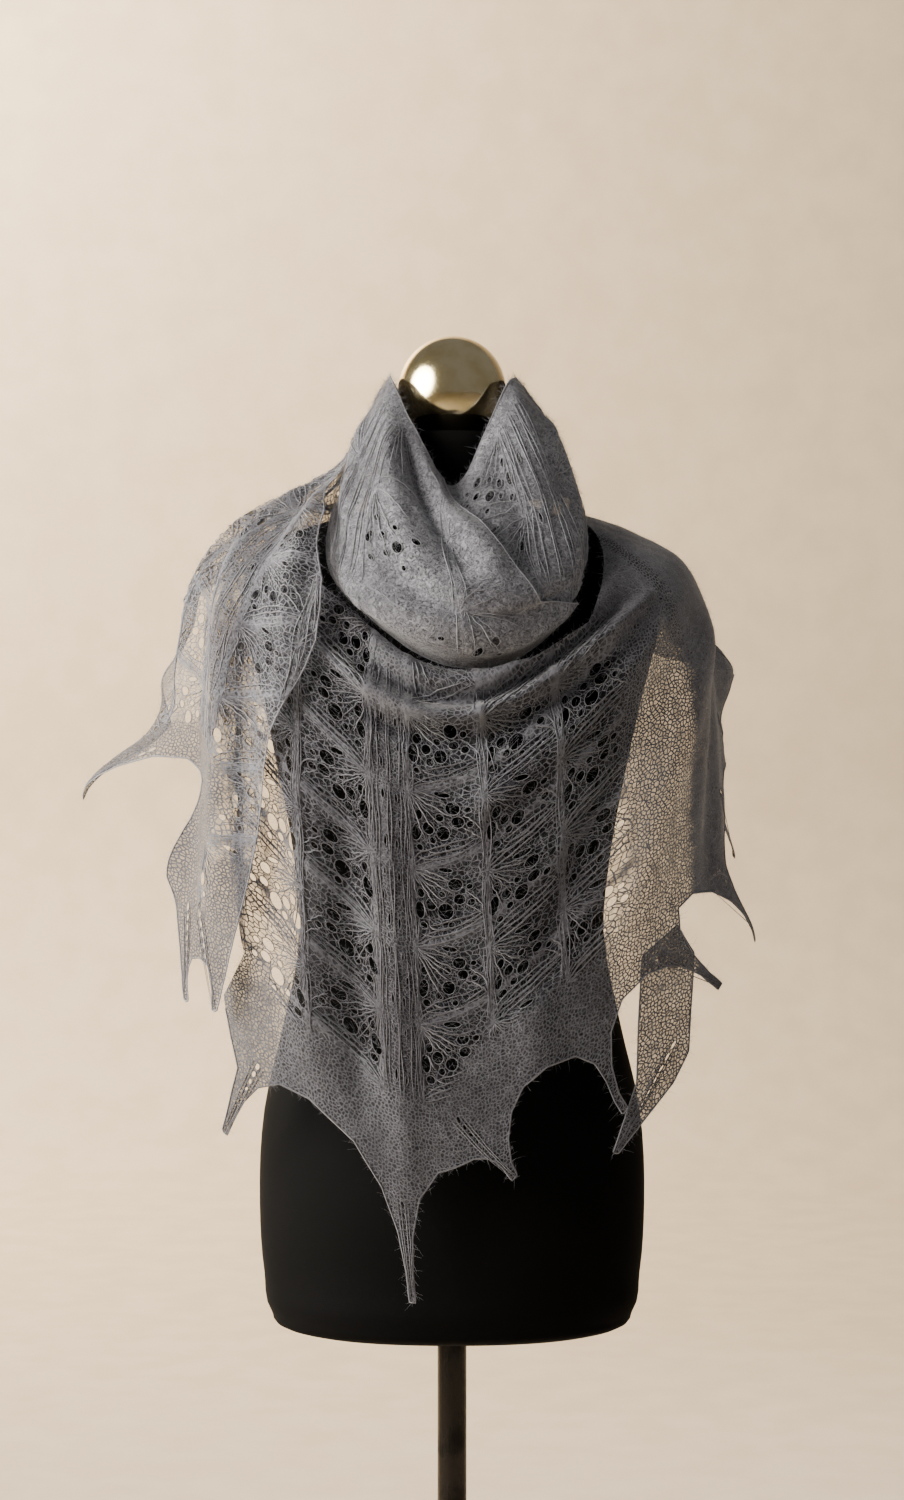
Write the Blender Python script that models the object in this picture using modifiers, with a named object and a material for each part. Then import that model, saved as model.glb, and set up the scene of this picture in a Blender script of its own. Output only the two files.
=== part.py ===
"""Hand-knitted lace shawl, worn point to the front, on a plain dress form with a ball finial.

Metres, +Z up, the floor at Z 0 and the pole on the Z axis. The front of the form faces -Y.
The cloth is laid out flat as (across, down) and carried into place: across is measured round
the body and down is measured along the cloth from the neck.
"""

import math
from collections import namedtuple

import bmesh
import bpy
import numpy as np
from mathutils import Vector
from mathutils.geometry import delaunay_2d_cdt

MM = 0.001

# Driving sizes of the stand and the form
BASE_RADIUS = 160 * MM
BASE_HEIGHT = 9 * MM
BASE_EDGE = 3 * MM
COLLAR_RADIUS = 26 * MM
COLLAR_HEIGHT = 34 * MM
POLE_RADIUS = 12.5 * MM
FORM_FOOT = 797 * MM
NECK_TOP = 1563 * MM
BALL_RADIUS = 46.5 * MM
BALL_CENTRE = 1603 * MM
FIT_GAP = 0.3 * MM

# Driving sizes of the cloth
CLOTH = 1.4 * MM
TIP_WIDTH = 5 * MM
LAYER_GAP = 0.7 * MM
RING_SQUARENESS = 2.25

# The leaf lace repeats on both sides of a centre rib: the size of a repeat, half the rib's
# width, and how far a gap keeps from a plain edge
REPEAT_ACROSS = 61 * MM
REPEAT_DOWN = 62 * MM
RIB_HALF = 16 * MM
GAP_MARGIN = 8 * MM

# The largest gaps of a repeat: each one's middle in shares of the repeat, away from the rib and
# down from the apex where the strands meet, and its size
Gap = namedtuple("Gap", "across down width height")
GAPS = [
    Gap(0.08, 0.50, 8, 15),
    Gap(0.43, 0.46, 12, 12.5),
    Gap(0.58, 0.13, 12, 10),
    Gap(0.25, 0.40, 9, 10),
    Gap(0.62, 0.31, 10, 8.5),
]

# The centre rib of a stretch's lace runs from start to end, each an (angle, run), an apex lies
# at the run called first, and so many columns of repeats lie on each side
Lace = namedtuple("Lace", "start end first columns")
BODY_LACE = Lace((-19.5, 194), (-13.5, 612), 180, 3)
BACK_LACE = Lace((180, 0), (180, 300), 20, 4)
WING_LACE = Lace((-58, 100), (-72, 560), 150, 4)

# The form, ring by ring from its foot: half its width, and how far it stands to front and back
Ring = namedtuple("Ring", "height half_width front back")
FORM_RINGS = [
    Ring(797, 132, 80, 84),
    Ring(801, 146, 93, 96),
    Ring(813, 156, 102, 105),
    Ring(845, 162, 107, 111),
    Ring(905, 166, 112, 118),
    Ring(985, 162, 108, 114),
    Ring(1060, 145, 98, 98),
    Ring(1138, 131, 92, 86),
    Ring(1205, 137, 101, 90),
    Ring(1285, 152, 128, 99),
    Ring(1335, 163, 120, 106),
    Ring(1385, 176, 100, 106),
    Ring(1416, 182, 84, 98),
    Ring(1440, 179, 70, 84),
    Ring(1461, 168, 60, 72),
    Ring(1477, 146, 55, 64),
    Ring(1490, 106, 52, 58),
    Ring(1503, 70, 50, 54),
    Ring(1520, 53, 49, 52),
    Ring(1563, 50, 48, 50),
]

# The cloth over the shoulders, by its run down from the neck: how far it reaches out at the
# side, in front and behind, and how high it lies there
Drape = namedtuple(
    "Drape", "run side_reach side_height front_reach front_height back_reach back_height"
)
DRAPE = [
    Drape(0, 66, 1512, 68, 1476, 66, 1516),
    Drape(50, 110, 1496, 99, 1436, 96, 1478),
    Drape(100, 156, 1480, 124, 1392, 118, 1434),
    Drape(150, 198, 1455, 142, 1345, 130, 1386),
    Drape(200, 219, 1413, 151, 1296, 137, 1337),
    Drape(260, 226, 1354, 152, 1236, 141, 1277),
    Drape(340, 231, 1274, 150, 1156, 146, 1197),
    Drape(440, 238, 1175, 147, 1056, 151, 1098),
    Drape(540, 246, 1075, 145, 956, 155, 998),
    Drape(700, 254, 915, 144, 796, 160, 838),
]

# The wing that comes round from the back of the neck and over one shoulder
WING = [
    Drape(0, 58, 1612, 66, 1596, 62, 1602),
    Drape(50, 79, 1567, 94, 1553, 84, 1558),
    Drape(90, 99, 1534, 116, 1518, 104, 1524),
    Drape(125, 127, 1514, 130, 1486, 118, 1492),
    Drape(165, 160, 1497, 140, 1448, 130, 1454),
    Drape(215, 196, 1468, 151, 1400, 141, 1406),
    Drape(258, 217, 1431, 157, 1358, 148, 1364),
    Drape(310, 226, 1380, 161, 1306, 153, 1312),
    Drape(390, 232, 1300, 162, 1226, 157, 1232),
    Drape(490, 242, 1201, 161, 1126, 161, 1132),
    Drape(590, 250, 1101, 161, 1026, 165, 1032),
    Drape(700, 256, 991, 161, 916, 168, 922),
]

# The cowl, by the angle round the neck from the front: where its top edge, its belly and the
# edge tucked under it lie. Its last row repeats the first, a whole turn on
Cowl = namedtuple("Cowl", "angle top_reach top_height belly_reach belly_height low_reach low_height")
COWL = [
    Cowl(-180, 58, 1588, 78, 1549, 84, 1518),
    Cowl(-135, 54, 1600, 75, 1552, 86, 1514),
    Cowl(-90, 51, 1613, 72, 1548, 92, 1510),
    Cowl(-72, 54, 1611, 91, 1522, 107, 1490),
    Cowl(-56, 59, 1603, 119, 1476, 123, 1447),
    Cowl(-30, 66, 1562, 154, 1426, 117, 1400),
    Cowl(0, 75, 1513, 168, 1404, 124, 1366),
    Cowl(26, 60, 1557, 164, 1414, 122, 1374),
    Cowl(52, 60, 1604, 139, 1458, 129, 1428),
    Cowl(72, 57, 1611, 111, 1502, 104, 1491.5),
    Cowl(90, 55, 1613, 95, 1531, 102, 1508),
    Cowl(135, 57, 1602, 86, 1548, 94, 1514),
    Cowl(180, 58, 1588, 78, 1549, 84, 1518),
]
COWL_RUN = 180 * MM
COWL_REACH = 110 * MM

# A soft ridge in the cloth, or a trough where its height is negative. Its line runs from start
# through middle to end, each an (angle, run) on the stretch it lies in
Fold = namedtuple("Fold", "start middle end width height")
BODY_FOLDS = [
    Fold((-50, 104), (8, 150), (60, 118), 11, 10),
    Fold((-30, 148), (12, 163), (62, 146), 6, -8),
    Fold((-44, 164), (10, 176), (68, 152), 7.5, 13),
    Fold((-36, 188), (10, 197), (60, 184), 8, -7),
    Fold((80, 160), (32, 226), (-4, 262), 16, 6),
    Fold((86, 190), (62, 300), (48, 450), 22, 8),
    Fold((72, 190), (44, 290), (24, 440), 17, -6),
    Fold((92, 210), (78, 330), (72, 450), 16, -7),
    Fold((-20, 210), (-16.5, 420), (-13, 640), 13, 4),
    Fold((-46, 210), (-42, 380), (-42, 540), 18, 7),
    Fold((-32, 240), (-29, 400), (-27, 560), 15, -6),
    Fold((20, 400), (26, 480), (32, 570), 18, 6),
    Fold((106, 150), (98, 260), (90, 400), 14, 7),
    Fold((112, 50), (118, 140), (124, 260), 18, 8),
    Fold((130, 50), (136, 140), (142, 250), 17, -8),
    Fold((148, 50), (154, 140), (158, 250), 18, 8),
    Fold((168, 50), (174, 140), (178, 250), 17, -7),
    Fold((190, 50), (196, 140), (200, 250), 18, 8),
    Fold((210, 50), (215, 140), (219, 250), 16, -8),
    Fold((228, 50), (232, 140), (236, 250), 16, 6),
]
WING_FOLDS = [
    Fold((-62, 96), (-46, 230), (-50, 470), 12, 7),
    Fold((-70, 90), (-56, 250), (-57, 520), 12, -6),
    Fold((-80, 70), (-64, 270), (-63, 570), 13, 9),
    Fold((-90, 90), (-75, 290), (-70, 590), 13, -6),
    Fold((-98, 60), (-86, 240), (-84, 430), 16, 8),
    Fold((-112, 90), (-101, 220), (-96, 400), 16, -8),
    Fold((-126, 50), (-116, 160), (-106, 280), 16, 7),
]
COWL_FOLDS = [
    Fold((-26, 98), (8, 134), (44, 134), 9, -9),
    Fold((-50, 112), (4, 158), (66, 132), 11, 6),
    Fold((20, 8), (26, 66), (24, 120), 13, -6),
    Fold((70, 20), (60, 100), (26, 122), 17, 7),
    Fold((104, 20), (118, 60), (160, 70), 12, 5),
    Fold((104, 60), (130, 90), (162, 110), 12, -5),
]
# The left half's crossing edge is rolled, with a crease and a broad fold beside it
ROLLED_EDGE = [
    Fold((-26, 0), (3, 54), (15, 128), 8, 6),
    Fold((-36, 8), (-9, 50), (8, 116), 7, -7),
    Fold((-52, 4), (-22, 66), (-6, 112), 12, 6),
    Fold((-66, 40), (-52, 84), (-34, 108), 12, 6),
]

# A point of the edging drawn away from where the plain hang would put it: sideways, out and up
Pull = namedtuple("Pull", "angle run spread right forward up")
BODY_PULLS = [
    Pull(86, 486, 90, 18, 0, 2),
    Pull(96, 414, 45, 10, 0, 0),
    Pull(105, 350, 45, 12, 0, 0),
    Pull(108, 262, 60, 40, 0, 14),
]
WING_PULLS = [
    Pull(-97, 454, 115, -84, 0, 16),
    Pull(-101, 335, 70, -34, 0, 0),
    Pull(-104, 264, 48, -28, 0, 4),
]

# The outline of a stretch: tips of its edging, each pointing so many degrees to the right of
# straight down, the tops of the scallops between them, each sloping so many degrees down to the
# right, and plain turns where it isn't edging
Tip = namedtuple("Tip", "angle run points")
Scallop = namedtuple("Scallop", "angle run slope")
Turn = namedtuple("Turn", "angle run")
FRONT_OUTLINE = [
    Turn(-63, 500),
    Turn(-62.5, 510),
    Turn(-59, 552),
    Tip(-62, 612, -22),
    Scallop(-41, 538, 2),
    Tip(-12.5, 655, 6),
    Scallop(7, 535, 0),
    Tip(19.5, 562, 38),
    Scallop(28, 485, 2),
    Tip(48.5, 564, 36),
    Scallop(54, 464, 4),
    Tip(71.5, 508, 48),
    Scallop(66, 421, 10),
    Tip(86, 486, 45),
    Scallop(83, 392, -60),
    Tip(96, 414, 40),
    Scallop(90, 340, -50),
    Tip(105, 350, 40),
    Scallop(96, 290, -60),
    Tip(108, 262, 50),
    Turn(118, 215),
    Turn(120, 44),
    Turn(106, 46),
    Turn(90, 49),
    Turn(72, 53),
    Turn(56, 104),
    Turn(42, 148),
    Turn(26, 150),
    Turn(5, 138),
    Turn(-17, 132),
    Turn(-36, 116),
    Turn(-52, 107),
    Turn(-62, 126),
    Turn(-64, 200),
    Turn(-64, 300),
    Turn(-62, 400),
    Turn(-58, 456),
]
WING_OUTLINE = [
    Turn(-150, 4),
    Turn(-138, 100),
    Turn(-122, 190),
    Tip(-104, 264, -60),
    Scallop(-95, 296, 90),
    Turn(-101, 335),
    Turn(-104, 372),
    Tip(-97, 454, -45),
    Scallop(-68, 412, 45),
    Turn(-76, 502),
    Tip(-68.5, 596, 5),
    Scallop(-65, 556, 0),
    Tip(-60.5, 594, 14),
    Turn(-54, 494),
    Turn(-51, 440),
    Turn(-49.5, 382),
    Turn(-48, 352),
    Turn(-44, 320),
    Turn(-40, 286),
    Turn(-38, 262),
    Turn(-38, 232),
    Turn(-39, 208),
    Turn(-44, 176),
    Turn(-47, 142),
    Turn(-58, 104),
    Turn(-71, 60),
    Turn(-82, 20),
    Turn(-96, 4),
]
BACK_OUTLINE = [
    Turn(118.4, 215),
    Tip(132, 266, 20),
    Scallop(143, 196, -10),
    Tip(156, 240, 15),
    Scallop(167, 176, -5),
    Tip(180, 216, 0),
    Scallop(193, 176, 5),
    Tip(204, 240, -15),
    Scallop(217, 196, 10),
    Tip(229, 266, -20),
    Scallop(240, 214, 10),
    Tip(250, 290, -20),
    Turn(258, 270),
    Turn(262, 180),
    Turn(258, 40),
    Turn(240, 20),
    Turn(210, 12),
    Turn(150, 12),
    Turn(128, 26),
    Turn(120.4, 44),
]
TAIL_OUTLINE = [
    Tip(46.5, 594, -40),
    Turn(60, 566),
    Turn(64, 548),
    Turn(66, 470),
    Turn(62, 440),
    Turn(53, 448),
    Turn(52, 500),
    Turn(51.5, 548),
]
COWL_LEFT_OUTLINE = [
    Turn(-186, 0),
    Turn(-186, 176),
    Turn(-150, 178),
    Turn(-90, 180),
    Turn(-30, 180),
    Turn(44, 180),
    Turn(45, 166),
    Turn(38, 148),
    Turn(25, 130),
    Turn(20, 108),
    Turn(11, 62),
    Turn(-7, 3),
    Turn(-30, 0),
    Turn(-90, 0),
]
COWL_RIGHT_OUTLINE = [
    Turn(-11, 14),
    Turn(0, 60),
    Turn(9, 108),
    Turn(12, 150),
    Turn(10, 180),
    Turn(90, 180),
    Turn(150, 178),
    Turn(186, 176),
    Turn(186, 0),
    Turn(90, 0),
    Turn(30, 0),
    Turn(-5, 0),
]


def curve_through(rows, key, column, at):
    """Values of one column on a smooth curve through a table's rows."""
    keys = np.array([getattr(row, key) for row in rows], float)
    values = np.array([getattr(row, column) for row in rows], float)
    slopes = np.gradient(values, keys)
    at = np.clip(np.asarray(at, float), keys[0], keys[-1])
    i = np.clip(np.searchsorted(keys, at) - 1, 0, len(keys) - 2)
    step = keys[i + 1] - keys[i]
    t = (at - keys[i]) / step
    return (
        values[i] * (1 + 2 * t) * (1 - t) ** 2
        + slopes[i] * step * t * (1 - t) ** 2
        + values[i + 1] * t**2 * (3 - 2 * t)
        - slopes[i + 1] * step * t**2 * (1 - t)
    )


def ring_reach(angle, half_width, depth):
    """How far a rounded, slightly square ring reaches from the axis at an angle from the front."""
    across = np.abs(np.sin(angle)) / half_width
    along = np.abs(np.cos(angle)) / depth
    return (across**RING_SQUARENESS + along**RING_SQUARENESS) ** (-1 / RING_SQUARENESS)


def girth_table():
    """Angles round the body, and the cloth's width across to each, on the ring at the bust."""
    angles = np.radians(np.linspace(-280, 280, 2241))
    row = DRAPE[4]
    depth = np.where(np.cos(angles) > 0, row.front_reach, row.back_reach) * MM
    reach = ring_reach(angles, row.side_reach * MM, depth)
    points = np.column_stack([reach * np.sin(angles), -reach * np.cos(angles)])
    steps = np.linalg.norm(np.diff(points, axis=0), axis=1)
    across = np.concatenate([[0], np.cumsum(steps)])
    return angles, across - np.interp(0.0, angles, across)


GIRTH_ANGLES, GIRTH_ACROSS = girth_table()


def body_across(angle_deg):
    return np.interp(np.radians(angle_deg), GIRTH_ANGLES, GIRTH_ACROSS)


def body_angle(across):
    return np.interp(across, GIRTH_ACROSS, GIRTH_ANGLES)


def cowl_across(angle_deg):
    return np.radians(angle_deg) * COWL_REACH


def hang(profile):
    """The plain hang of the cloth over the body, with no folds: flat points to places."""

    def place(flat):
        angle = body_angle(flat[:, 0])
        run = flat[:, 1] / MM
        front = np.cos(angle) > 0
        side = curve_through(profile, "run", "side_reach", run) * MM
        depth = np.where(
            front,
            curve_through(profile, "run", "front_reach", run),
            curve_through(profile, "run", "back_reach", run),
        ) * MM
        end_height = np.where(
            front,
            curve_through(profile, "run", "front_height", run),
            curve_through(profile, "run", "back_height", run),
        )
        share = np.sin(angle) ** 2
        height = curve_through(profile, "run", "side_height", run) * share + end_height * (1 - share)
        reach = ring_reach(angle, side, depth)
        return np.column_stack([reach * np.sin(angle), -reach * np.cos(angle), height * MM])

    return place


def wind(flat):
    """The cowl's plain form round the neck, with no folds: flat points to places."""
    angle = np.degrees(flat[:, 0] / COWL_REACH)
    around = (angle + 180) % 360 - 180
    share = flat[:, 1] / COWL_RUN
    places = []
    for value in ("reach", "height"):
        top = curve_through(COWL, "angle", "top_" + value, around)
        belly = curve_through(COWL, "angle", "belly_" + value, around)
        low = curve_through(COWL, "angle", "low_" + value, around)
        upper = np.minimum(share / 0.72, 1)
        lower = np.maximum((share - 0.72) / 0.28, 0)
        if value == "reach":
            rise = 0.75 * upper + 0.25 * np.sin(upper * math.pi / 2)
            fall = 1 - np.cos(lower * math.pi / 2)
        else:
            rise = 0.7 * upper + 0.3 * upper**2
            fall = lower
        places.append(top + (belly - top) * rise + (low - belly) * fall)
    reach, height = places[0] * MM, places[1] * MM
    angle = np.radians(angle)
    return np.column_stack([reach * np.sin(angle), -reach * np.cos(angle), height])


def line_of(fold, to_across):
    """A fold's line on the flat cloth, as a curve through its three points."""
    start, middle, end = (
        np.array([to_across(angle), run * MM]) for angle, run in (fold.start, fold.middle, fold.end)
    )
    handle = 2 * middle - (start + end) / 2
    t = np.linspace(0, 1, 15)[:, None]
    return (1 - t) ** 2 * start + 2 * t * (1 - t) * handle + t**2 * end


def relief(flat, folds, to_across):
    """How far the folds stand out at each flat point. A fold fades out over its last quarter."""
    total = np.zeros(len(flat))
    for fold in folds:
        line = line_of(fold, to_across)
        a, b = line[:-1], line[1:]
        along = b - a
        t = ((flat[:, None] - a) * along).sum(2) / (along**2).sum(1)
        t = np.clip(t, 0, 1)
        away = np.linalg.norm(flat[:, None] - a - t[..., None] * along, axis=2)
        nearest = away.argmin(1)
        rows = np.arange(len(flat))
        share = (nearest + t[rows, nearest]) / len(a)
        fade = np.clip(np.minimum(share, 1 - share) / 0.25, 0, 1)
        fade = fade * fade * (3 - 2 * fade)
        width = fold.width * MM
        total += fold.height * MM * np.exp(-((away[rows, nearest] / width) ** 2)) * fade
    return total


def drawn(flat, pulls, to_across):
    """How far each flat point is drawn away by the edging's points."""
    total = np.zeros((len(flat), 3))
    for pull in pulls:
        centre = np.array([to_across(pull.angle), pull.run * MM])
        away = np.linalg.norm(flat - centre, axis=1) / (pull.spread * MM)
        grip = np.clip(1 - away, 0, 1)
        grip = grip * grip * (3 - 2 * grip)
        total += grip[:, None] * np.array([pull.right, -pull.forward, pull.up]) * MM
    return total


def laid(base, folds, pulls, lift, to_across):
    """The finished place of a stretch: its plain form, lifted and folded, its points drawn out."""

    def place(flat):
        step = 0.5 * MM
        here = base(flat)
        right = base(flat + [step, 0]) - here
        down = base(flat + [0, step]) - here
        outward = np.cross(down, right)
        outward /= np.linalg.norm(outward, axis=1)[:, None]
        height = relief(flat, folds, to_across)
        raised = lift(flat) if callable(lift) else lift
        return here + outward * (height + raised)[:, None] + drawn(flat, pulls, to_across)

    return place


def curved(points, steps):
    """Points along a cubic curve with these four control points, without its first."""
    t = np.linspace(0, 1, steps + 1)[1:, None]
    a, b, c, d = (np.array(p, float) for p in points)
    return (1 - t) ** 3 * a + 3 * t * (1 - t) ** 2 * b + 3 * t**2 * (1 - t) * c + t**3 * d


def with_steps(outline, longest):
    """The same outline, its long sides divided evenly."""
    line = []
    for here, beyond in zip(outline, np.roll(outline, -1, axis=0)):
        count = max(1, math.ceil(np.linalg.norm(beyond - here) / longest))
        line.extend(here + (beyond - here) * i / count for i in range(count))
    return np.array(line)


def outline_of(rows, to_across):
    """The flat outline through its rows, curved on both sides of each tip of the edging."""
    spots = [np.array([to_across(row.angle), row.run * MM]) for row in rows]
    count = len(rows)
    line = []
    for i, row in enumerate(rows):
        if not isinstance(row, Tip):
            line.append(spots[i])
            continue
        turn = math.radians(row.points)
        axis = np.array([math.sin(turn), math.cos(turn)])
        aside = np.array([axis[1], -axis[0]]) * TIP_WIDTH / 2
        for side, other in ((-1, i - 1), (1, (i + 1) % count)):
            tip = spots[i] + side * aside
            if not isinstance(rows[other], Scallop):
                line.append(tip)
                continue
            slope = math.radians(rows[other].slope)
            along = -side * np.array([math.cos(slope), math.sin(slope)])
            length = np.linalg.norm(tip - spots[other])
            arc = [
                spots[other],
                spots[other] + along * length * 0.5,
                tip - axis * length * 0.2,
                tip,
            ]
            way = curved(arc, 5)
            line.extend(way if side < 0 else [tip, *way[-2::-1]])
    return np.array(line)


def inside(points, outline):
    """True for each flat point that lies inside a closed outline."""
    a = np.asarray(outline)
    b = np.roll(a, -1, axis=0)
    x, y = points[:, :1], points[:, 1:]
    spans = (a[:, 1] > y) != (b[:, 1] > y)
    rise = np.where(b[:, 1] == a[:, 1], 1e-12, b[:, 1] - a[:, 1])
    crossing = a[:, 0] + (y - a[:, 1]) / rise * (b[:, 0] - a[:, 0])
    return (spans & (x < crossing)).sum(1) % 2 == 1


def distance_to(points, outline):
    """How far each flat point is from a closed outline."""
    a = np.asarray(outline)
    along = np.roll(a, -1, axis=0) - a
    t = ((points[:, None] - a) * along).sum(2) / np.maximum((along**2).sum(1), 1e-12)
    t = np.clip(t, 0, 1)[..., None]
    return np.linalg.norm(points[:, None] - a - t * along, axis=2).min(1)


def material(name, colour, roughness, metallic=0.0):
    made = bpy.data.materials.new(name)
    made.use_nodes = True
    shader = made.node_tree.nodes["Principled BSDF"]
    shader.inputs["Base Color"].default_value = (*colour, 1.0)
    shader.inputs["Roughness"].default_value = roughness
    shader.inputs["Metallic"].default_value = metallic
    return made


def new_object(name, mesh, finish, collection):
    made = bpy.data.objects.new(name, mesh)
    made.data.materials.append(finish)
    collection.objects.link(made)
    return made


def cloth_stretch(name, outline, place, spacing, gaps, folds, to_across, finish, collection):
    """One stretch of the shawl: its flat outline, less the lace gaps, carried into place."""
    outline = with_steps(outline, spacing)
    low, high = outline.min(0), outline.max(0)
    wanted = []
    for fold in folds:
        line = line_of(fold, to_across)
        count = max(2, int(np.linalg.norm(np.diff(line, axis=0), axis=1).sum() / spacing))
        steps = np.interp(np.linspace(0, 1, count), np.linspace(0, 1, len(line)), np.arange(len(line)))
        crest = np.column_stack([np.interp(steps, np.arange(len(line)), line[:, k]) for k in (0, 1)])
        aside = np.gradient(crest, axis=0)[:, ::-1] * [1, -1]
        aside /= np.linalg.norm(aside, axis=1)[:, None]
        for share in (0, -1.35, 1.35):
            wanted.append(crest + aside * share * fold.width * MM)
    row_step = spacing * math.sqrt(3) / 2
    for row, down in enumerate(np.arange(low[1], high[1], row_step)):
        shift = spacing / 2 if row % 2 else 0.0
        across = np.arange(low[0] + shift, high[0], spacing)
        wanted.append(np.column_stack([across, np.full(len(across), down)]))
    wanted = np.concatenate(wanted)
    wanted = wanted[inside(wanted, outline)]
    wanted = wanted[distance_to(wanted, outline) > spacing * 0.45]
    for gap in gaps:
        middle = gap.mean(0)
        reach = np.linalg.norm(gap - middle, axis=1).max()
        wanted = wanted[np.linalg.norm(wanted - middle, axis=1) > spacing * 0.35 + reach * 0.8]
    grid = []
    for point in wanted:
        if not grid or np.linalg.norm(np.array(grid) - point, axis=1).min() > spacing * 0.7:
            grid.append(point)
    grid = np.array(grid)
    points = [outline] + list(gaps) + [grid]
    edges = []
    first = 0
    for loop in points[:-1]:
        count = len(loop)
        edges.extend((first + i, first + (i + 1) % count) for i in range(count))
        first += count
    flat = np.concatenate(points)
    made = delaunay_2d_cdt([Vector(p) for p in flat], edges, [], 0, 1e-7)
    corners = np.array([tuple(v) for v in made[0]])
    faces = np.array(made[2])
    middles = corners[faces].mean(1)
    kept = inside(middles, outline)
    for gap in gaps:
        near = np.linalg.norm(middles - gap.mean(0), axis=1) < REPEAT_DOWN / 4
        kept &= ~(near & inside(middles, gap))
    placed = place(corners)
    mesh = bpy.data.meshes.new(name)
    mesh.from_pydata(placed.tolist(), [], faces[kept][:, ::-1].tolist())
    shaped = bmesh.new()
    shaped.from_mesh(mesh)
    loose = [v for v in shaped.verts if not v.link_faces]
    bmesh.ops.delete(shaped, geom=loose, context="VERTS")
    shaped.to_mesh(mesh)
    shaped.free()
    made = new_object(name, mesh, finish, collection)
    mesh.shade_smooth()
    wall = made.modifiers.new("wall", "SOLIDIFY")
    wall.thickness = CLOTH
    wall.offset = 0.0
    return made


def edging_of(outline, ends, to_across):
    """The part of an outline that is edging, between its two ends, each an (angle, run)."""
    line = with_steps(outline, 4 * MM)
    first, last = (
        np.linalg.norm(line - [to_across(angle), run * MM], axis=1).argmin() for angle, run in ends
    )
    return line[first : last + 1]


def lace_gaps(outline, edging, lace, plain, to_across):
    """The largest gaps of the leaf lace, as flat diamonds on both sides of its centre rib."""
    start, end = ((to_across(angle), run * MM) for angle, run in (lace.start, lace.end))
    lean = (end[0] - start[0]) / (end[1] - start[1])
    gaps = []
    for side in (-1, 1):
        for column in range(lace.columns):
            for row in range(-10, 13):
                for gap in GAPS:
                    run = lace.first * MM + (row + gap.down) * REPEAT_DOWN
                    aside = side * (RIB_HALF + (column + gap.across) * REPEAT_ACROSS)
                    centre = np.array([start[0] + lean * (run - start[1]) + aside, run])
                    half = np.array([gap.width, gap.height]) * MM / 2
                    gaps.append(centre + half * np.array([[-1, 0], [0, 1], [1, 0], [0, -1]]))
    gaps = np.array(gaps)
    middles = gaps.mean(1)
    kept = inside(middles, outline) & (distance_to(middles, outline) > GAP_MARGIN)
    kept[kept] = [np.linalg.norm(edging - spot, axis=1).min() > plain for spot in middles[kept]]
    return gaps[kept]


def loft(name, rings, sides, finish, collection):
    """A closed solid through rings: (height, half_width, front, back), in millimetres."""
    shaped = bmesh.new()
    loops = []
    for ring in rings:
        loop = []
        for i in range(sides):
            angle = 2 * math.pi * i / sides
            depth = ring.front if math.cos(angle) > 0 else ring.back
            reach = float(ring_reach(angle, ring.half_width * MM, depth * MM))
            loop.append(
                shaped.verts.new((reach * math.sin(angle), -reach * math.cos(angle), ring.height * MM))
            )
        loops.append(loop)
    for lower, upper in zip(loops, loops[1:]):
        for i in range(sides):
            j = (i + 1) % sides
            shaped.faces.new((lower[i], lower[j], upper[j], upper[i]))
    shaped.faces.new(loops[0][::-1])
    shaped.faces.new(loops[-1])
    mesh = bpy.data.meshes.new(name)
    bmesh.ops.recalc_face_normals(shaped, faces=shaped.faces)
    shaped.to_mesh(mesh)
    shaped.free()
    mesh.shade_smooth()
    return new_object(name, mesh, finish, collection)


def turned(name, radius, low, high, sides, edge, finish, collection):
    """A plain round piece standing on the axis, with rounded edges where edge isn't 0."""
    shaped = bmesh.new()
    bmesh.ops.create_cone(
        shaped, cap_ends=True, segments=sides, radius1=radius, radius2=radius, depth=high - low
    )
    bmesh.ops.translate(shaped, verts=shaped.verts, vec=(0, 0, (low + high) / 2))
    mesh = bpy.data.meshes.new(name)
    shaped.to_mesh(mesh)
    shaped.free()
    made = new_object(name, mesh, finish, collection)
    if edge:
        rounding = made.modifiers.new("edges", "BEVEL")
        rounding.width = edge
        rounding.segments = 2
        rounding.limit_method = "ANGLE"
    return made


def ball_finial(finish, collection):
    """The ball, with a small flat under it where it stands on the neck."""
    shaped = bmesh.new()
    bmesh.ops.create_uvsphere(shaped, u_segments=32, v_segments=20, radius=BALL_RADIUS)
    bmesh.ops.translate(shaped, verts=shaped.verts, vec=(0, 0, BALL_CENTRE))
    cut = bmesh.ops.bisect_plane(
        shaped,
        geom=shaped.verts[:] + shaped.edges[:] + shaped.faces[:],
        plane_co=(0, 0, NECK_TOP + FIT_GAP),
        plane_no=(0, 0, 1),
        clear_inner=True,
    )
    rim = [e for e in cut["geom_cut"] if isinstance(e, bmesh.types.BMEdge)]
    bmesh.ops.contextual_create(shaped, geom=rim)
    bmesh.ops.recalc_face_normals(shaped, faces=shaped.faces)
    mesh = bpy.data.meshes.new("ball_finial")
    shaped.to_mesh(mesh)
    shaped.free()
    mesh.shade_smooth()
    return new_object("ball_finial", mesh, finish, collection)


def under_the_wing(flat):
    """How far the cloth on the body lies in from its plain hang, where the wing covers it."""
    angle = np.degrees(body_angle(flat[:, 0]))
    share = np.clip((np.abs(angle - 100) - 138) / 16, 0, 1)
    return -6 * MM * share * share * (3 - 2 * share)


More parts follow.
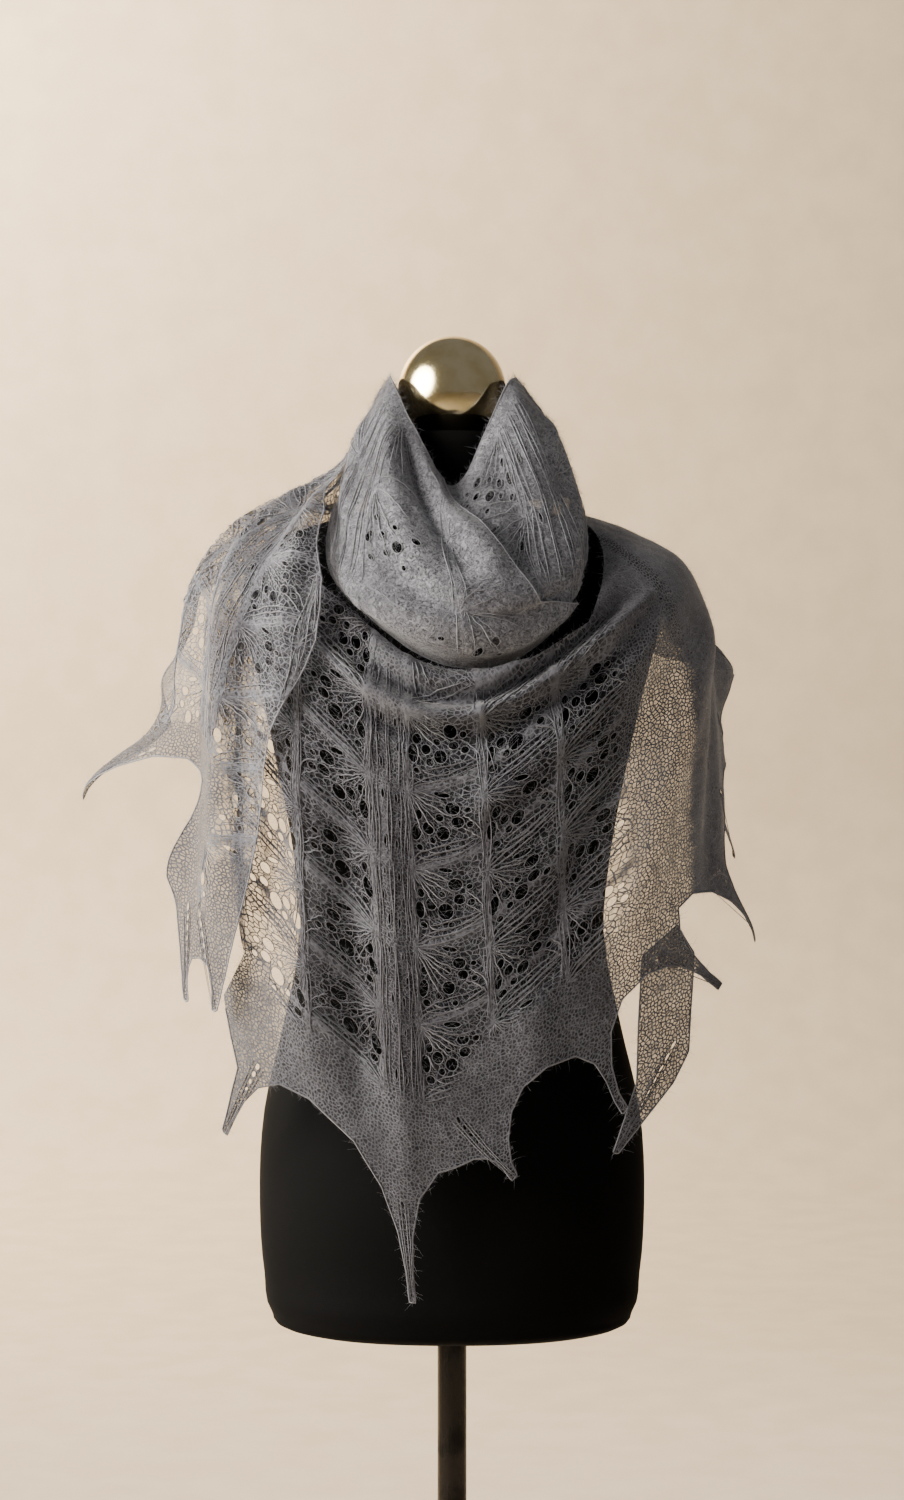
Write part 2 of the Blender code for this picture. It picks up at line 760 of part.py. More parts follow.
def front_fall(finish, collection):
    """The point and both sides of the shawl's front, falling from under the cowl."""
    outline = outline_of(FRONT_OUTLINE, body_across)
    edging = edging_of(outline, ((-62.5, 510), (108, 262)), body_across)
    place = laid(hang(DRAPE), BODY_FOLDS, BODY_PULLS, under_the_wing, body_across)
    gaps = lace_gaps(outline, edging, BODY_LACE, 60 * MM, body_across)
    gaps = gaps[gaps[:, 0, 1] > 196 * MM]
    folds = BODY_FOLDS
    return cloth_stretch("front_fall", outline, place, 19 * MM, gaps, folds, body_across, finish, collection)


def back_drape(finish, collection):
    """The cloth over the shoulder blades, its edging just above the form's waist."""
    outline = outline_of(BACK_OUTLINE, body_across)
    edging = edging_of(outline, ((132, 266), (250, 290)), body_across)
    place = laid(hang(DRAPE), BODY_FOLDS, BODY_PULLS, under_the_wing, body_across)
    gaps = lace_gaps(outline, edging, BACK_LACE, 45 * MM, body_across)
    folds = BODY_FOLDS
    return cloth_stretch("back_drape", outline, place, 24 * MM, gaps, folds, body_across, finish, collection)


def left_wing(finish, collection):
    """The wing from the nape over one shoulder, with the long point of edging that flares out."""
    outline = outline_of(WING_OUTLINE, body_across)
    edging = edging_of(outline, ((-122, 190), (-54, 494)), body_across)
    place = laid(hang(WING), WING_FOLDS, WING_PULLS, FIT_GAP, body_across)
    gaps = lace_gaps(outline, edging, WING_LACE, 34 * MM, body_across)
    gaps = gaps[gaps[:, 0, 1] > 190 * MM]
    folds = WING_FOLDS
    return cloth_stretch("left_wing", outline, place, 20 * MM, gaps, folds, body_across, finish, collection)


def tail(finish, collection):
    """The short end that hangs from behind the front's side."""
    outline = outline_of(TAIL_OUTLINE, body_across)
    place = laid(hang(DRAPE), BODY_FOLDS, BODY_PULLS, -(CLOTH + LAYER_GAP), body_across)
    return cloth_stretch("tail", outline, place, 24 * MM, [], BODY_FOLDS, body_across, finish, collection)


def over_the_right_half(flat):
    """How far the cowl's left half lies outside the right one: most where it crosses in front."""
    front = np.clip((flat[:, 0] - cowl_across(-60)) / cowl_across(60), 0, 1)
    return CLOTH + LAYER_GAP + 3.4 * MM * front


def cowl(name, rows, folds, lift, finish, collection):
    """One half of the cowl, with its folds hanging one inside another at the front."""
    outline = outline_of(rows, cowl_across)
    place = laid(wind, folds, [], lift, cowl_across)
    return cloth_stretch(name, outline, place, 14 * MM, [], folds, cowl_across, finish, collection)


def main():
    for old in list(bpy.data.objects):
        bpy.data.objects.remove(old)
    shawl = bpy.data.collections.new("lace_shawl_on_dress_form")
    bpy.context.scene.collection.children.link(shawl)
    mohair = material("mohair_lace", (0.27, 0.28, 0.31), 0.95)
    jersey = material("black_jersey", (0.006, 0.006, 0.007), 0.9)
    brass = material("gold_ball", (0.62, 0.47, 0.22), 0.18, 1.0)
    chrome = material("polished_steel", (0.55, 0.54, 0.52), 0.2, 1.0)
    loft("torso", FORM_RINGS, 32, jersey, shawl)
    ball_finial(brass, shawl)
    turned("base_plate", BASE_RADIUS, 0.0, BASE_HEIGHT, 48, BASE_EDGE, chrome, shawl)
    turned(
        "pole_collar",
        COLLAR_RADIUS,
        BASE_HEIGHT + FIT_GAP,
        BASE_HEIGHT + FIT_GAP + COLLAR_HEIGHT,
        32,
        BASE_EDGE,
        chrome,
        shawl,
    )
    pole_foot = BASE_HEIGHT + 2 * FIT_GAP + COLLAR_HEIGHT
    turned("pole", POLE_RADIUS, pole_foot, FORM_FOOT - FIT_GAP, 24, 0.0, chrome, shawl)
    front_fall(mohair, shawl)
    back_drape(mohair, shawl)
    left_wing(mohair, shawl)
    tail(mohair, shawl)
    cowl("cowl_right", COWL_RIGHT_OUTLINE, COWL_FOLDS, 0.0, mohair, shawl)
    left_folds = COWL_FOLDS + ROLLED_EDGE
    cowl("cowl_left", COWL_LEFT_OUTLINE, left_folds, over_the_right_half, mohair, shawl)


main()
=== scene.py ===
# %% [markdown]
# # Lace shawl on a dress form: the looks
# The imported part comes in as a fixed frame, and the shawl is knitted over it, stretch by stretch.
# Everything is in metres, +Z up, with the front of the form facing -Y.

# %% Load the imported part
import math
import random
from collections import namedtuple

import bmesh
import bpy
import numpy as np
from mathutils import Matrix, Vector
from mathutils.geometry import delaunay_2d_cdt


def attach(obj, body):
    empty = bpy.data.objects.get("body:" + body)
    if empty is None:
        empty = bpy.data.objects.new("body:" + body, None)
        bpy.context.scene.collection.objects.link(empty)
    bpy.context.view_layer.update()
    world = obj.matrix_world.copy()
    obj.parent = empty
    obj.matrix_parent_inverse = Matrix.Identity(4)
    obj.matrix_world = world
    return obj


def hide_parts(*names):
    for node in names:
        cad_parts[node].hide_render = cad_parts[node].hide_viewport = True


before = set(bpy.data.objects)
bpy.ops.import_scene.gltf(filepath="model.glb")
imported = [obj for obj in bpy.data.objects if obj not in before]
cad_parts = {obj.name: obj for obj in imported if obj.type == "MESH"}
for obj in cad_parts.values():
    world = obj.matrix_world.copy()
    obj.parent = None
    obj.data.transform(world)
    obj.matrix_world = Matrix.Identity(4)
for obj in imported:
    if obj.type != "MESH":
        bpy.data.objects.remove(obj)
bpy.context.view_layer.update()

MM = 0.001

# %% [markdown]
# ## Camera
# It stands level in front of the form, at the photo's angle. Half the picture's height spans
# HALF_HEIGHT at the distance of the pole.

# %% Place the camera
EYE_DISTANCE = 2.3
EYE_HEIGHT = 1.293
HALF_HEIGHT = 0.6465
lens = bpy.data.cameras.new("camera")
lens.lens = lens.sensor_width / 2 * EYE_DISTANCE / HALF_HEIGHT
eye = bpy.data.objects.new("camera", lens)
eye.location = (0, -EYE_DISTANCE, EYE_HEIGHT)
eye.rotation_euler = (math.radians(90), 0, 0)
bpy.context.scene.collection.objects.link(eye)
bpy.context.scene.camera = eye
print("camera lens", round(lens.lens, 1), "mm")

# %% [markdown]
# ## The shawl's form
# The cloth is laid out flat as (across, down): across is measured round the body and down along
# the cloth from the neck. The tables say where the plain hang lies, and which folds lie on it.

# %% Sizes of the cloth's hang
CLOTH = 1.4 * MM
LAYER_GAP = 0.7 * MM
TIP_WIDTH = 5 * MM
RING_SQUARENESS = 2.25
COWL_RUN = 180 * MM
COWL_REACH = 110 * MM

# %% Tables of the form, the hang, the folds and the outlines
# The form, ring by ring from its foot: half its width, and how far it stands to front and back
Ring = namedtuple("Ring", "height half_width front back")
FORM_RINGS = [
    Ring(797, 132, 80, 84),
    Ring(801, 146, 93, 96),
    Ring(813, 156, 102, 105),
    Ring(845, 162, 107, 111),
    Ring(905, 166, 112, 118),
    Ring(985, 162, 108, 114),
    Ring(1060, 145, 98, 98),
    Ring(1138, 131, 92, 86),
    Ring(1205, 137, 101, 90),
    Ring(1285, 152, 128, 99),
    Ring(1335, 163, 120, 106),
    Ring(1385, 176, 100, 106),
    Ring(1416, 182, 84, 98),
    Ring(1440, 179, 70, 84),
    Ring(1461, 168, 60, 72),
    Ring(1477, 146, 55, 64),
    Ring(1490, 106, 52, 58),
    Ring(1503, 70, 50, 54),
    Ring(1520, 53, 49, 52),
    Ring(1563, 50, 48, 50),
]

# The cloth over the shoulders, by its run down from the neck: how far it reaches out at the
# side, in front and behind, and how high it lies there
Drape = namedtuple(
    "Drape", "run side_reach side_height front_reach front_height back_reach back_height"
)
DRAPE = [
    Drape(0, 66, 1512, 68, 1476, 66, 1516),
    Drape(50, 110, 1496, 99, 1436, 96, 1478),
    Drape(100, 156, 1480, 124, 1392, 118, 1434),
    Drape(150, 198, 1455, 142, 1345, 130, 1386),
    Drape(200, 219, 1413, 151, 1296, 137, 1337),
    Drape(260, 226, 1354, 152, 1236, 141, 1277),
    Drape(340, 231, 1274, 150, 1156, 146, 1197),
    Drape(440, 238, 1175, 147, 1056, 151, 1098),
    Drape(540, 246, 1075, 145, 956, 155, 998),
    Drape(700, 254, 915, 144, 796, 160, 838),
]

# The wing that comes round from the back of the neck and over one shoulder
WING = [
    Drape(0, 58, 1612, 66, 1596, 62, 1602),
    Drape(50, 79, 1567, 94, 1553, 84, 1558),
    Drape(90, 99, 1534, 116, 1518, 104, 1524),
    Drape(125, 127, 1514, 130, 1486, 118, 1492),
    Drape(165, 160, 1497, 140, 1448, 130, 1454),
    Drape(215, 196, 1468, 151, 1400, 141, 1406),
    Drape(258, 217, 1431, 157, 1358, 148, 1364),
    Drape(310, 226, 1380, 161, 1306, 153, 1312),
    Drape(390, 232, 1300, 162, 1226, 157, 1232),
    Drape(490, 242, 1201, 161, 1126, 161, 1132),
    Drape(590, 250, 1101, 161, 1026, 165, 1032),
    Drape(700, 256, 991, 161, 916, 168, 922),
]

# The cowl, by the angle round the neck from the front: where its top edge, its belly and the
# edge tucked under it lie. Its last row repeats the first, a whole turn on
Cowl = namedtuple("Cowl", "angle top_reach top_height belly_reach belly_height low_reach low_height")
COWL = [
    Cowl(-180, 58, 1588, 78, 1549, 84, 1518),
    Cowl(-135, 54, 1600, 75, 1552, 86, 1514),
    Cowl(-90, 51, 1613, 72, 1548, 92, 1510),
    Cowl(-72, 54, 1611, 91, 1522, 107, 1490),
    Cowl(-56, 59, 1603, 119, 1476, 123, 1447),
    Cowl(-30, 66, 1562, 154, 1426, 117, 1400),
    Cowl(0, 75, 1513, 168, 1404, 124, 1366),
    Cowl(26, 60, 1557, 164, 1414, 122, 1374),
    Cowl(52, 60, 1604, 139, 1458, 129, 1428),
    Cowl(72, 57, 1611, 111, 1502, 104, 1491.5),
    Cowl(90, 55, 1613, 95, 1531, 102, 1508),
    Cowl(135, 57, 1602, 86, 1548, 94, 1514),
    Cowl(180, 58, 1588, 78, 1549, 84, 1518),
]
COWL_RUN = 180 * MM
COWL_REACH = 110 * MM

# A soft ridge in the cloth, or a trough where its height is negative. Its line runs from start
# through middle to end, each an (angle, run) on the stretch it lies in
Fold = namedtuple("Fold", "start middle end width height")
BODY_FOLDS = [
    Fold((-50, 104), (8, 150), (60, 118), 11, 10),
    Fold((-30, 148), (12, 163), (62, 146), 6, -8),
    Fold((-44, 164), (10, 176), (68, 152), 7.5, 13),
    Fold((-36, 188), (10, 197), (60, 184), 8, -7),
    Fold((80, 160), (32, 226), (-4, 262), 16, 6),
    Fold((86, 190), (62, 300), (48, 450), 22, 8),
    Fold((72, 190), (44, 290), (24, 440), 17, -6),
    Fold((92, 210), (78, 330), (72, 450), 16, -7),
    Fold((-20, 210), (-16.5, 420), (-13, 640), 13, 4),
    Fold((-46, 210), (-42, 380), (-42, 540), 18, 7),
    Fold((-32, 240), (-29, 400), (-27, 560), 15, -6),
    Fold((20, 400), (26, 480), (32, 570), 18, 6),
    Fold((106, 150), (98, 260), (90, 400), 14, 7),
    Fold((112, 50), (118, 140), (124, 260), 18, 8),
    Fold((130, 50), (136, 140), (142, 250), 17, -8),
    Fold((148, 50), (154, 140), (158, 250), 18, 8),
    Fold((168, 50), (174, 140), (178, 250), 17, -7),
    Fold((190, 50), (196, 140), (200, 250), 18, 8),
    Fold((210, 50), (215, 140), (219, 250), 16, -8),
    Fold((228, 50), (232, 140), (236, 250), 16, 6),
]
WING_FOLDS = [
    Fold((-62, 96), (-46, 230), (-50, 470), 12, 7),
    Fold((-70, 90), (-56, 250), (-57, 520), 12, -6),
    Fold((-80, 70), (-64, 270), (-63, 570), 13, 9),
    Fold((-90, 90), (-75, 290), (-70, 590), 13, -6),
    Fold((-98, 60), (-86, 240), (-84, 430), 16, 8),
    Fold((-112, 90), (-101, 220), (-96, 400), 16, -8),
    Fold((-126, 50), (-116, 160), (-106, 280), 16, 7),
]
COWL_FOLDS = [
    Fold((-26, 98), (8, 134), (44, 134), 9, -9),
    Fold((-50, 112), (4, 158), (66, 132), 11, 6),
    Fold((20, 8), (26, 66), (24, 120), 13, -6),
    Fold((70, 20), (60, 100), (26, 122), 17, 7),
    Fold((104, 20), (118, 60), (160, 70), 12, 5),
    Fold((104, 60), (130, 90), (162, 110), 12, -5),
]
# The left half's crossing edge is rolled, with a crease and a broad fold beside it
ROLLED_EDGE = [
    Fold((-26, 0), (3, 54), (15, 128), 8, 6),
    Fold((-36, 8), (-9, 50), (8, 116), 7, -7),
    Fold((-52, 4), (-22, 66), (-6, 112), 12, 6),
    Fold((-66, 40), (-52, 84), (-34, 108), 12, 6),
]

# A point of the edging drawn away from where the plain hang would put it: sideways, out and up
Pull = namedtuple("Pull", "angle run spread right forward up")
BODY_PULLS = [
    Pull(86, 486, 90, 18, 0, 2),
    Pull(96, 414, 45, 10, 0, 0),
    Pull(105, 350, 45, 12, 0, 0),
    Pull(108, 262, 60, 40, 0, 14),
]
WING_PULLS = [
    Pull(-97, 454, 115, -84, 0, 16),
    Pull(-101, 335, 70, -34, 0, 0),
    Pull(-104, 264, 48, -28, 0, 4),
]

# The outline of a stretch: tips of its edging, each pointing so many degrees to the right of
# straight down, the tops of the scallops between them, each sloping so many degrees down to the
# right, and plain turns where it isn't edging
Tip = namedtuple("Tip", "angle run points")
Scallop = namedtuple("Scallop", "angle run slope")
Turn = namedtuple("Turn", "angle run")
FRONT_OUTLINE = [
    Turn(-63, 500),
    Turn(-62.5, 510),
    Turn(-59, 552),
    Tip(-62, 612, -22),
    Scallop(-41, 538, 2),
    Tip(-12.5, 655, 6),
    Scallop(7, 535, 0),
    Tip(19.5, 562, 38),
    Scallop(28, 485, 2),
    Tip(48.5, 564, 36),
    Scallop(54, 464, 4),
    Tip(71.5, 508, 48),
    Scallop(66, 421, 10),
    Tip(86, 486, 45),
    Scallop(83, 392, -60),
    Tip(96, 414, 40),
    Scallop(90, 340, -50),
    Tip(105, 350, 40),
    Scallop(96, 290, -60),
    Tip(108, 262, 50),
    Turn(118, 215),
    Turn(120, 44),
    Turn(106, 46),
    Turn(90, 49),
    Turn(72, 53),
    Turn(56, 104),
    Turn(42, 148),
    Turn(26, 150),
    Turn(5, 138),
    Turn(-17, 132),
    Turn(-36, 116),
    Turn(-52, 107),
    Turn(-62, 126),
    Turn(-64, 200),
    Turn(-64, 300),
    Turn(-62, 400),
    Turn(-58, 456),
]
WING_OUTLINE = [
    Turn(-150, 4),
    Turn(-138, 100),
    Turn(-122, 190),
    Tip(-104, 264, -60),
    Scallop(-95, 296, 90),
    Turn(-101, 335),
    Turn(-104, 372),
    Tip(-97, 454, -45),
    Scallop(-68, 412, 45),
    Turn(-76, 502),
    Tip(-68.5, 596, 5),
    Scallop(-65, 556, 0),
    Tip(-60.5, 594, 14),
    Turn(-54, 494),
    Turn(-51, 440),
    Turn(-49.5, 382),
    Turn(-48, 352),
    Turn(-44, 320),
    Turn(-40, 286),
    Turn(-38, 262),
    Turn(-38, 232),
    Turn(-39, 208),
    Turn(-44, 176),
    Turn(-47, 142),
    Turn(-58, 104),
    Turn(-71, 60),
    Turn(-82, 20),
    Turn(-96, 4),
]
BACK_OUTLINE = [
    Turn(118.4, 215),
    Tip(132, 266, 20),
    Scallop(143, 196, -10),
    Tip(156, 240, 15),
    Scallop(167, 176, -5),
    Tip(180, 216, 0),
    Scallop(193, 176, 5),
    Tip(204, 240, -15),
    Scallop(217, 196, 10),
    Tip(229, 266, -20),
    Scallop(240, 214, 10),
    Tip(250, 290, -20),
    Turn(258, 270),
    Turn(262, 180),
    Turn(258, 40),
    Turn(240, 20),
    Turn(210, 12),
    Turn(150, 12),
    Turn(128, 26),
    Turn(120.4, 44),
]
TAIL_OUTLINE = [
    Tip(46.5, 594, -40),
    Turn(60, 566),
    Turn(64, 548),
    Turn(66, 470),
    Turn(62, 440),
    Turn(53, 448),
    Turn(52, 500),
    Turn(51.5, 548),
]
COWL_LEFT_OUTLINE = [
    Turn(-186, 0),
    Turn(-186, 176),
    Turn(-150, 178),
    Turn(-90, 180),
    Turn(-30, 180),
    Turn(44, 180),
    Turn(45, 166),
    Turn(38, 148),
    Turn(25, 130),
    Turn(20, 108),
    Turn(11, 62),
    Turn(-7, 3),
    Turn(-30, 0),
    Turn(-90, 0),
]
COWL_RIGHT_OUTLINE = [
    Turn(-11, 14),
    Turn(0, 60),
    Turn(9, 108),
    Turn(12, 150),
    Turn(10, 180),
    Turn(90, 180),
    Turn(150, 178),
    Turn(186, 176),
    Turn(186, 0),
    Turn(90, 0),
    Turn(30, 0),
    Turn(-5, 0),
]

# %% From the flat cloth to its place
def curve_through(rows, key, column, at):
    """Values of one column on a smooth curve through a table's rows."""
    keys = np.array([getattr(row, key) for row in rows], float)
    values = np.array([getattr(row, column) for row in rows], float)
    slopes = np.gradient(values, keys)
    at = np.clip(np.asarray(at, float), keys[0], keys[-1])
    i = np.clip(np.searchsorted(keys, at) - 1, 0, len(keys) - 2)
    step = keys[i + 1] - keys[i]
    t = (at - keys[i]) / step
    return (
        values[i] * (1 + 2 * t) * (1 - t) ** 2
        + slopes[i] * step * t * (1 - t) ** 2
        + values[i + 1] * t**2 * (3 - 2 * t)
        - slopes[i + 1] * step * t**2 * (1 - t)
    )


def ring_reach(angle, half_width, depth):
    """How far a rounded, slightly square ring reaches from the axis at an angle from the front."""
    across = np.abs(np.sin(angle)) / half_width
    along = np.abs(np.cos(angle)) / depth
    return (across**RING_SQUARENESS + along**RING_SQUARENESS) ** (-1 / RING_SQUARENESS)


def girth_table():
    """Angles round the body, and the cloth's width across to each, on the ring at the bust."""
    angles = np.radians(np.linspace(-280, 280, 2241))
    row = DRAPE[4]
    depth = np.where(np.cos(angles) > 0, row.front_reach, row.back_reach) * MM
    reach = ring_reach(angles, row.side_reach * MM, depth)
    points = np.column_stack([reach * np.sin(angles), -reach * np.cos(angles)])
    steps = np.linalg.norm(np.diff(points, axis=0), axis=1)
    across = np.concatenate([[0], np.cumsum(steps)])
    return angles, across - np.interp(0.0, angles, across)


GIRTH_ANGLES, GIRTH_ACROSS = girth_table()


def body_across(angle_deg):
    return np.interp(np.radians(angle_deg), GIRTH_ANGLES, GIRTH_ACROSS)


def body_angle(across):
    return np.interp(across, GIRTH_ACROSS, GIRTH_ANGLES)


def cowl_across(angle_deg):
    return np.radians(angle_deg) * COWL_REACH


def hang(profile):
    """The plain hang of the cloth over the body, with no folds: flat points to places."""

    def place(flat):
        angle = body_angle(flat[:, 0])
        run = flat[:, 1] / MM
        front = np.cos(angle) > 0
        side = curve_through(profile, "run", "side_reach", run) * MM
        depth = np.where(
            front,
            curve_through(profile, "run", "front_reach", run),
            curve_through(profile, "run", "back_reach", run),
        ) * MM
        end_height = np.where(
            front,
            curve_through(profile, "run", "front_height", run),
            curve_through(profile, "run", "back_height", run),
        )
        share = np.sin(angle) ** 2
        height = curve_through(profile, "run", "side_height", run) * share + end_height * (1 - share)
        reach = ring_reach(angle, side, depth)
        return np.column_stack([reach * np.sin(angle), -reach * np.cos(angle), height * MM])

    return place


def wind(flat):
    """The cowl's plain form round the neck, with no folds: flat points to places."""
    angle = np.degrees(flat[:, 0] / COWL_REACH)
    around = (angle + 180) % 360 - 180
    share = flat[:, 1] / COWL_RUN
    places = []
    for value in ("reach", "height"):
        top = curve_through(COWL, "angle", "top_" + value, around)
        belly = curve_through(COWL, "angle", "belly_" + value, around)
        low = curve_through(COWL, "angle", "low_" + value, around)
        upper = np.minimum(share / 0.72, 1)
        lower = np.maximum((share - 0.72) / 0.28, 0)
        if value == "reach":
            rise = 0.75 * upper + 0.25 * np.sin(upper * math.pi / 2)
            fall = 1 - np.cos(lower * math.pi / 2)
        else:
            rise = 0.7 * upper + 0.3 * upper**2
            fall = lower
        places.append(top + (belly - top) * rise + (low - belly) * fall)
    reach, height = places[0] * MM, places[1] * MM
    angle = np.radians(angle)
    return np.column_stack([reach * np.sin(angle), -reach * np.cos(angle), height])


def line_of(fold, to_across):
    """A fold's line on the flat cloth, as a curve through its three points."""
    start, middle, end = (
        np.array([to_across(angle), run * MM]) for angle, run in (fold.start, fold.middle, fold.end)
    )
    handle = 2 * middle - (start + end) / 2
    t = np.linspace(0, 1, 15)[:, None]
    return (1 - t) ** 2 * start + 2 * t * (1 - t) * handle + t**2 * end


def relief(flat, folds, to_across):
    """How far the folds stand out at each flat point. A fold fades out over its last quarter."""
    total = np.zeros(len(flat))
    for fold in folds:
        line = line_of(fold, to_across)
        a, b = line[:-1], line[1:]
        along = b - a
        t = ((flat[:, None] - a) * along).sum(2) / (along**2).sum(1)
        t = np.clip(t, 0, 1)
        away = np.linalg.norm(flat[:, None] - a - t[..., None] * along, axis=2)
        nearest = away.argmin(1)
        rows = np.arange(len(flat))
        share = (nearest + t[rows, nearest]) / len(a)
        fade = np.clip(np.minimum(share, 1 - share) / 0.25, 0, 1)
        fade = fade * fade * (3 - 2 * fade)
        width = fold.width * MM
        total += fold.height * MM * np.exp(-((away[rows, nearest] / width) ** 2)) * fade
    return total


def drawn(flat, pulls, to_across):
    """How far each flat point is drawn away by the edging's points."""
    total = np.zeros((len(flat), 3))
    for pull in pulls:
        centre = np.array([to_across(pull.angle), pull.run * MM])
        away = np.linalg.norm(flat - centre, axis=1) / (pull.spread * MM)
        grip = np.clip(1 - away, 0, 1)
        grip = grip * grip * (3 - 2 * grip)
        total += grip[:, None] * np.array([pull.right, -pull.forward, pull.up]) * MM
    return total


def laid(base, folds, pulls, lift, to_across):
    """The finished place of a stretch: its plain form, lifted and folded, its points drawn out."""

    def place(flat):
        step = 0.5 * MM
        here = base(flat)
        right = base(flat + [step, 0]) - here
        down = base(flat + [0, step]) - here
        outward = np.cross(down, right)
        outward /= np.linalg.norm(outward, axis=1)[:, None]
        height = relief(flat, folds, to_across)
        raised = lift(flat) if callable(lift) else lift
        return here + outward * (height + raised)[:, None] + drawn(flat, pulls, to_across)

    return place


def curved(points, steps):
    """Points along a cubic curve with these four control points, without its first."""
    t = np.linspace(0, 1, steps + 1)[1:, None]
    a, b, c, d = (np.array(p, float) for p in points)
    return (1 - t) ** 3 * a + 3 * t * (1 - t) ** 2 * b + 3 * t**2 * (1 - t) * c + t**3 * d


def with_steps(outline, longest):
    """The same outline, its long sides divided evenly."""
    line = []
    for here, beyond in zip(outline, np.roll(outline, -1, axis=0)):
        count = max(1, math.ceil(np.linalg.norm(beyond - here) / longest))
        line.extend(here + (beyond - here) * i / count for i in range(count))
    return np.array(line)


def outline_of(rows, to_across):
    """The flat outline through its rows, curved on both sides of each tip of the edging."""
    spots = [np.array([to_across(row.angle), row.run * MM]) for row in rows]
    count = len(rows)
    line = []
    for i, row in enumerate(rows):
        if not isinstance(row, Tip):
            line.append(spots[i])
            continue
        turn = math.radians(row.points)
        axis = np.array([math.sin(turn), math.cos(turn)])
        aside = np.array([axis[1], -axis[0]]) * TIP_WIDTH / 2
        for side, other in ((-1, i - 1), (1, (i + 1) % count)):
            tip = spots[i] + side * aside
            if not isinstance(rows[other], Scallop):
                line.append(tip)
                continue
            slope = math.radians(rows[other].slope)
            along = -side * np.array([math.cos(slope), math.sin(slope)])
            length = np.linalg.norm(tip - spots[other])
            arc = [
                spots[other],
                spots[other] + along * length * 0.5,
                tip - axis * length * 0.2,
                tip,
            ]
            way = curved(arc, 5)
            line.extend(way if side < 0 else [tip, *way[-2::-1]])
    return np.array(line)


def inside(points, outline):
    """True for each flat point that lies inside a closed outline."""
    a = np.asarray(outline)
    b = np.roll(a, -1, axis=0)
    x, y = points[:, :1], points[:, 1:]
    spans = (a[:, 1] > y) != (b[:, 1] > y)
    rise = np.where(b[:, 1] == a[:, 1], 1e-12, b[:, 1] - a[:, 1])
    crossing = a[:, 0] + (y - a[:, 1]) / rise * (b[:, 0] - a[:, 0])
    return (spans & (x < crossing)).sum(1) % 2 == 1


def distance_to(points, outline):
    """How far each flat point is from a closed outline."""
    a = np.asarray(outline)
    along = np.roll(a, -1, axis=0) - a
    t = ((points[:, None] - a) * along).sum(2) / np.maximum((along**2).sum(1), 1e-12)
    t = np.clip(t, 0, 1)[..., None]
    return np.linalg.norm(points[:, None] - a - t * along, axis=2).min(1)


# %% [markdown]
# ## The leaf lace
# The lace repeats on both sides of a centre rib. Each repeat hangs from an apex, where its
# strands meet, and its gaps lie in a cluster below and beside the apex.

# %% Sizes and gaps of the lace
REPEAT_ACROSS = 61 * MM
REPEAT_DOWN = 62 * MM
RIB_HALF = 16 * MM
SLANT = 0.36
FAN_RADIUS = 36 * MM
# A gap: its middle in shares of the repeat, away from the rib and down, and its size in mm
Gap = namedtuple("Gap", "across down width height")
GAPS = [
    Gap(0.08, 0.50, 8, 15),
    Gap(0.43, 0.46, 12, 12.5),
    Gap(0.58, 0.13, 12, 10),
    Gap(0.25, 0.40, 9, 10),
    Gap(0.62, 0.31, 10, 8.5),
    Gap(0.12, 0.27, 7, 9),
    Gap(0.45, -0.05, 14, 5),
    Gap(0.29, 0.57, 6.5, 6.5),
    Gap(0.13, 0.69, 7, 6.5),
    Gap(0.40, 0.26, 6.5, 6),
    Gap(0.50, 0.65, 6, 6),
    Gap(0.78, 0.36, 6.5, 6),
    Gap(0.76, 0.16, 6, 5),
    Gap(0.10, 0.10, 4.5, 5),
    Gap(-0.17, 0.16, 2.6, 7),
    Gap(-0.12, 0.47, 3.2, 8),
    Gap(-0.19, 0.76, 2.4, 9),
]
# The lace on a stretch: its centre rib runs from start to end, each an (angle, run), an apex
# lies at the run called first, and so many columns of repeats lie on each side
Lace = namedtuple("Lace", "start end first columns")
BODY_LACE = Lace((-19.5, 194), (-13.5, 612), 180, 3)
BACK_LACE = Lace((180, 0), (180, 300), 20, 4)
WING_LACE = Lace((-58, 100), (-72, 560), 150, 4)
# A patch that is gathered or lies doubled, so it shows denser: its span of angles and runs, how
# much denser it is, and whether its gaps are drawn shut
Patch = namedtuple("Patch", "left right top bottom added shut")
BODY_PATCHES = [
    Patch(-26, 62, 90, 184, 0.32, True),
    Patch(52, 66, 184, 600, 0.12, False),
    Patch(66, 112, 60, 600, 0.54, False),
    Patch(-64, -50, 470, 620, 0.2, False),
]
WING_PATCHES = [
    Patch(-72, -50, 100, 470, 0.2, False),
    Patch(-80, -50, 470, 600, 0.14, False),
    Patch(-150, -96, 0, 190, 0.2, False),
]
COWL_LEFT_PATCHES = [
    Patch(-190, -34, 0, 182, 0.0, True),
    Patch(-34, -8, 0, 76, 0.0, True),
    Patch(-34, -8, 122, 182, 0.0, True),
    Patch(-8, 60, 0, 150, 0.0, True),
    Patch(16, 60, 150, 182, 0.0, True),
]
COWL_RIGHT_PATCHES = [
    Patch(36, 190, 0, 182, 0.0, True),
    Patch(-20, 36, 98, 182, 0.0, True),
    Patch(10, 36, 14, 98, -0.22, False),
]


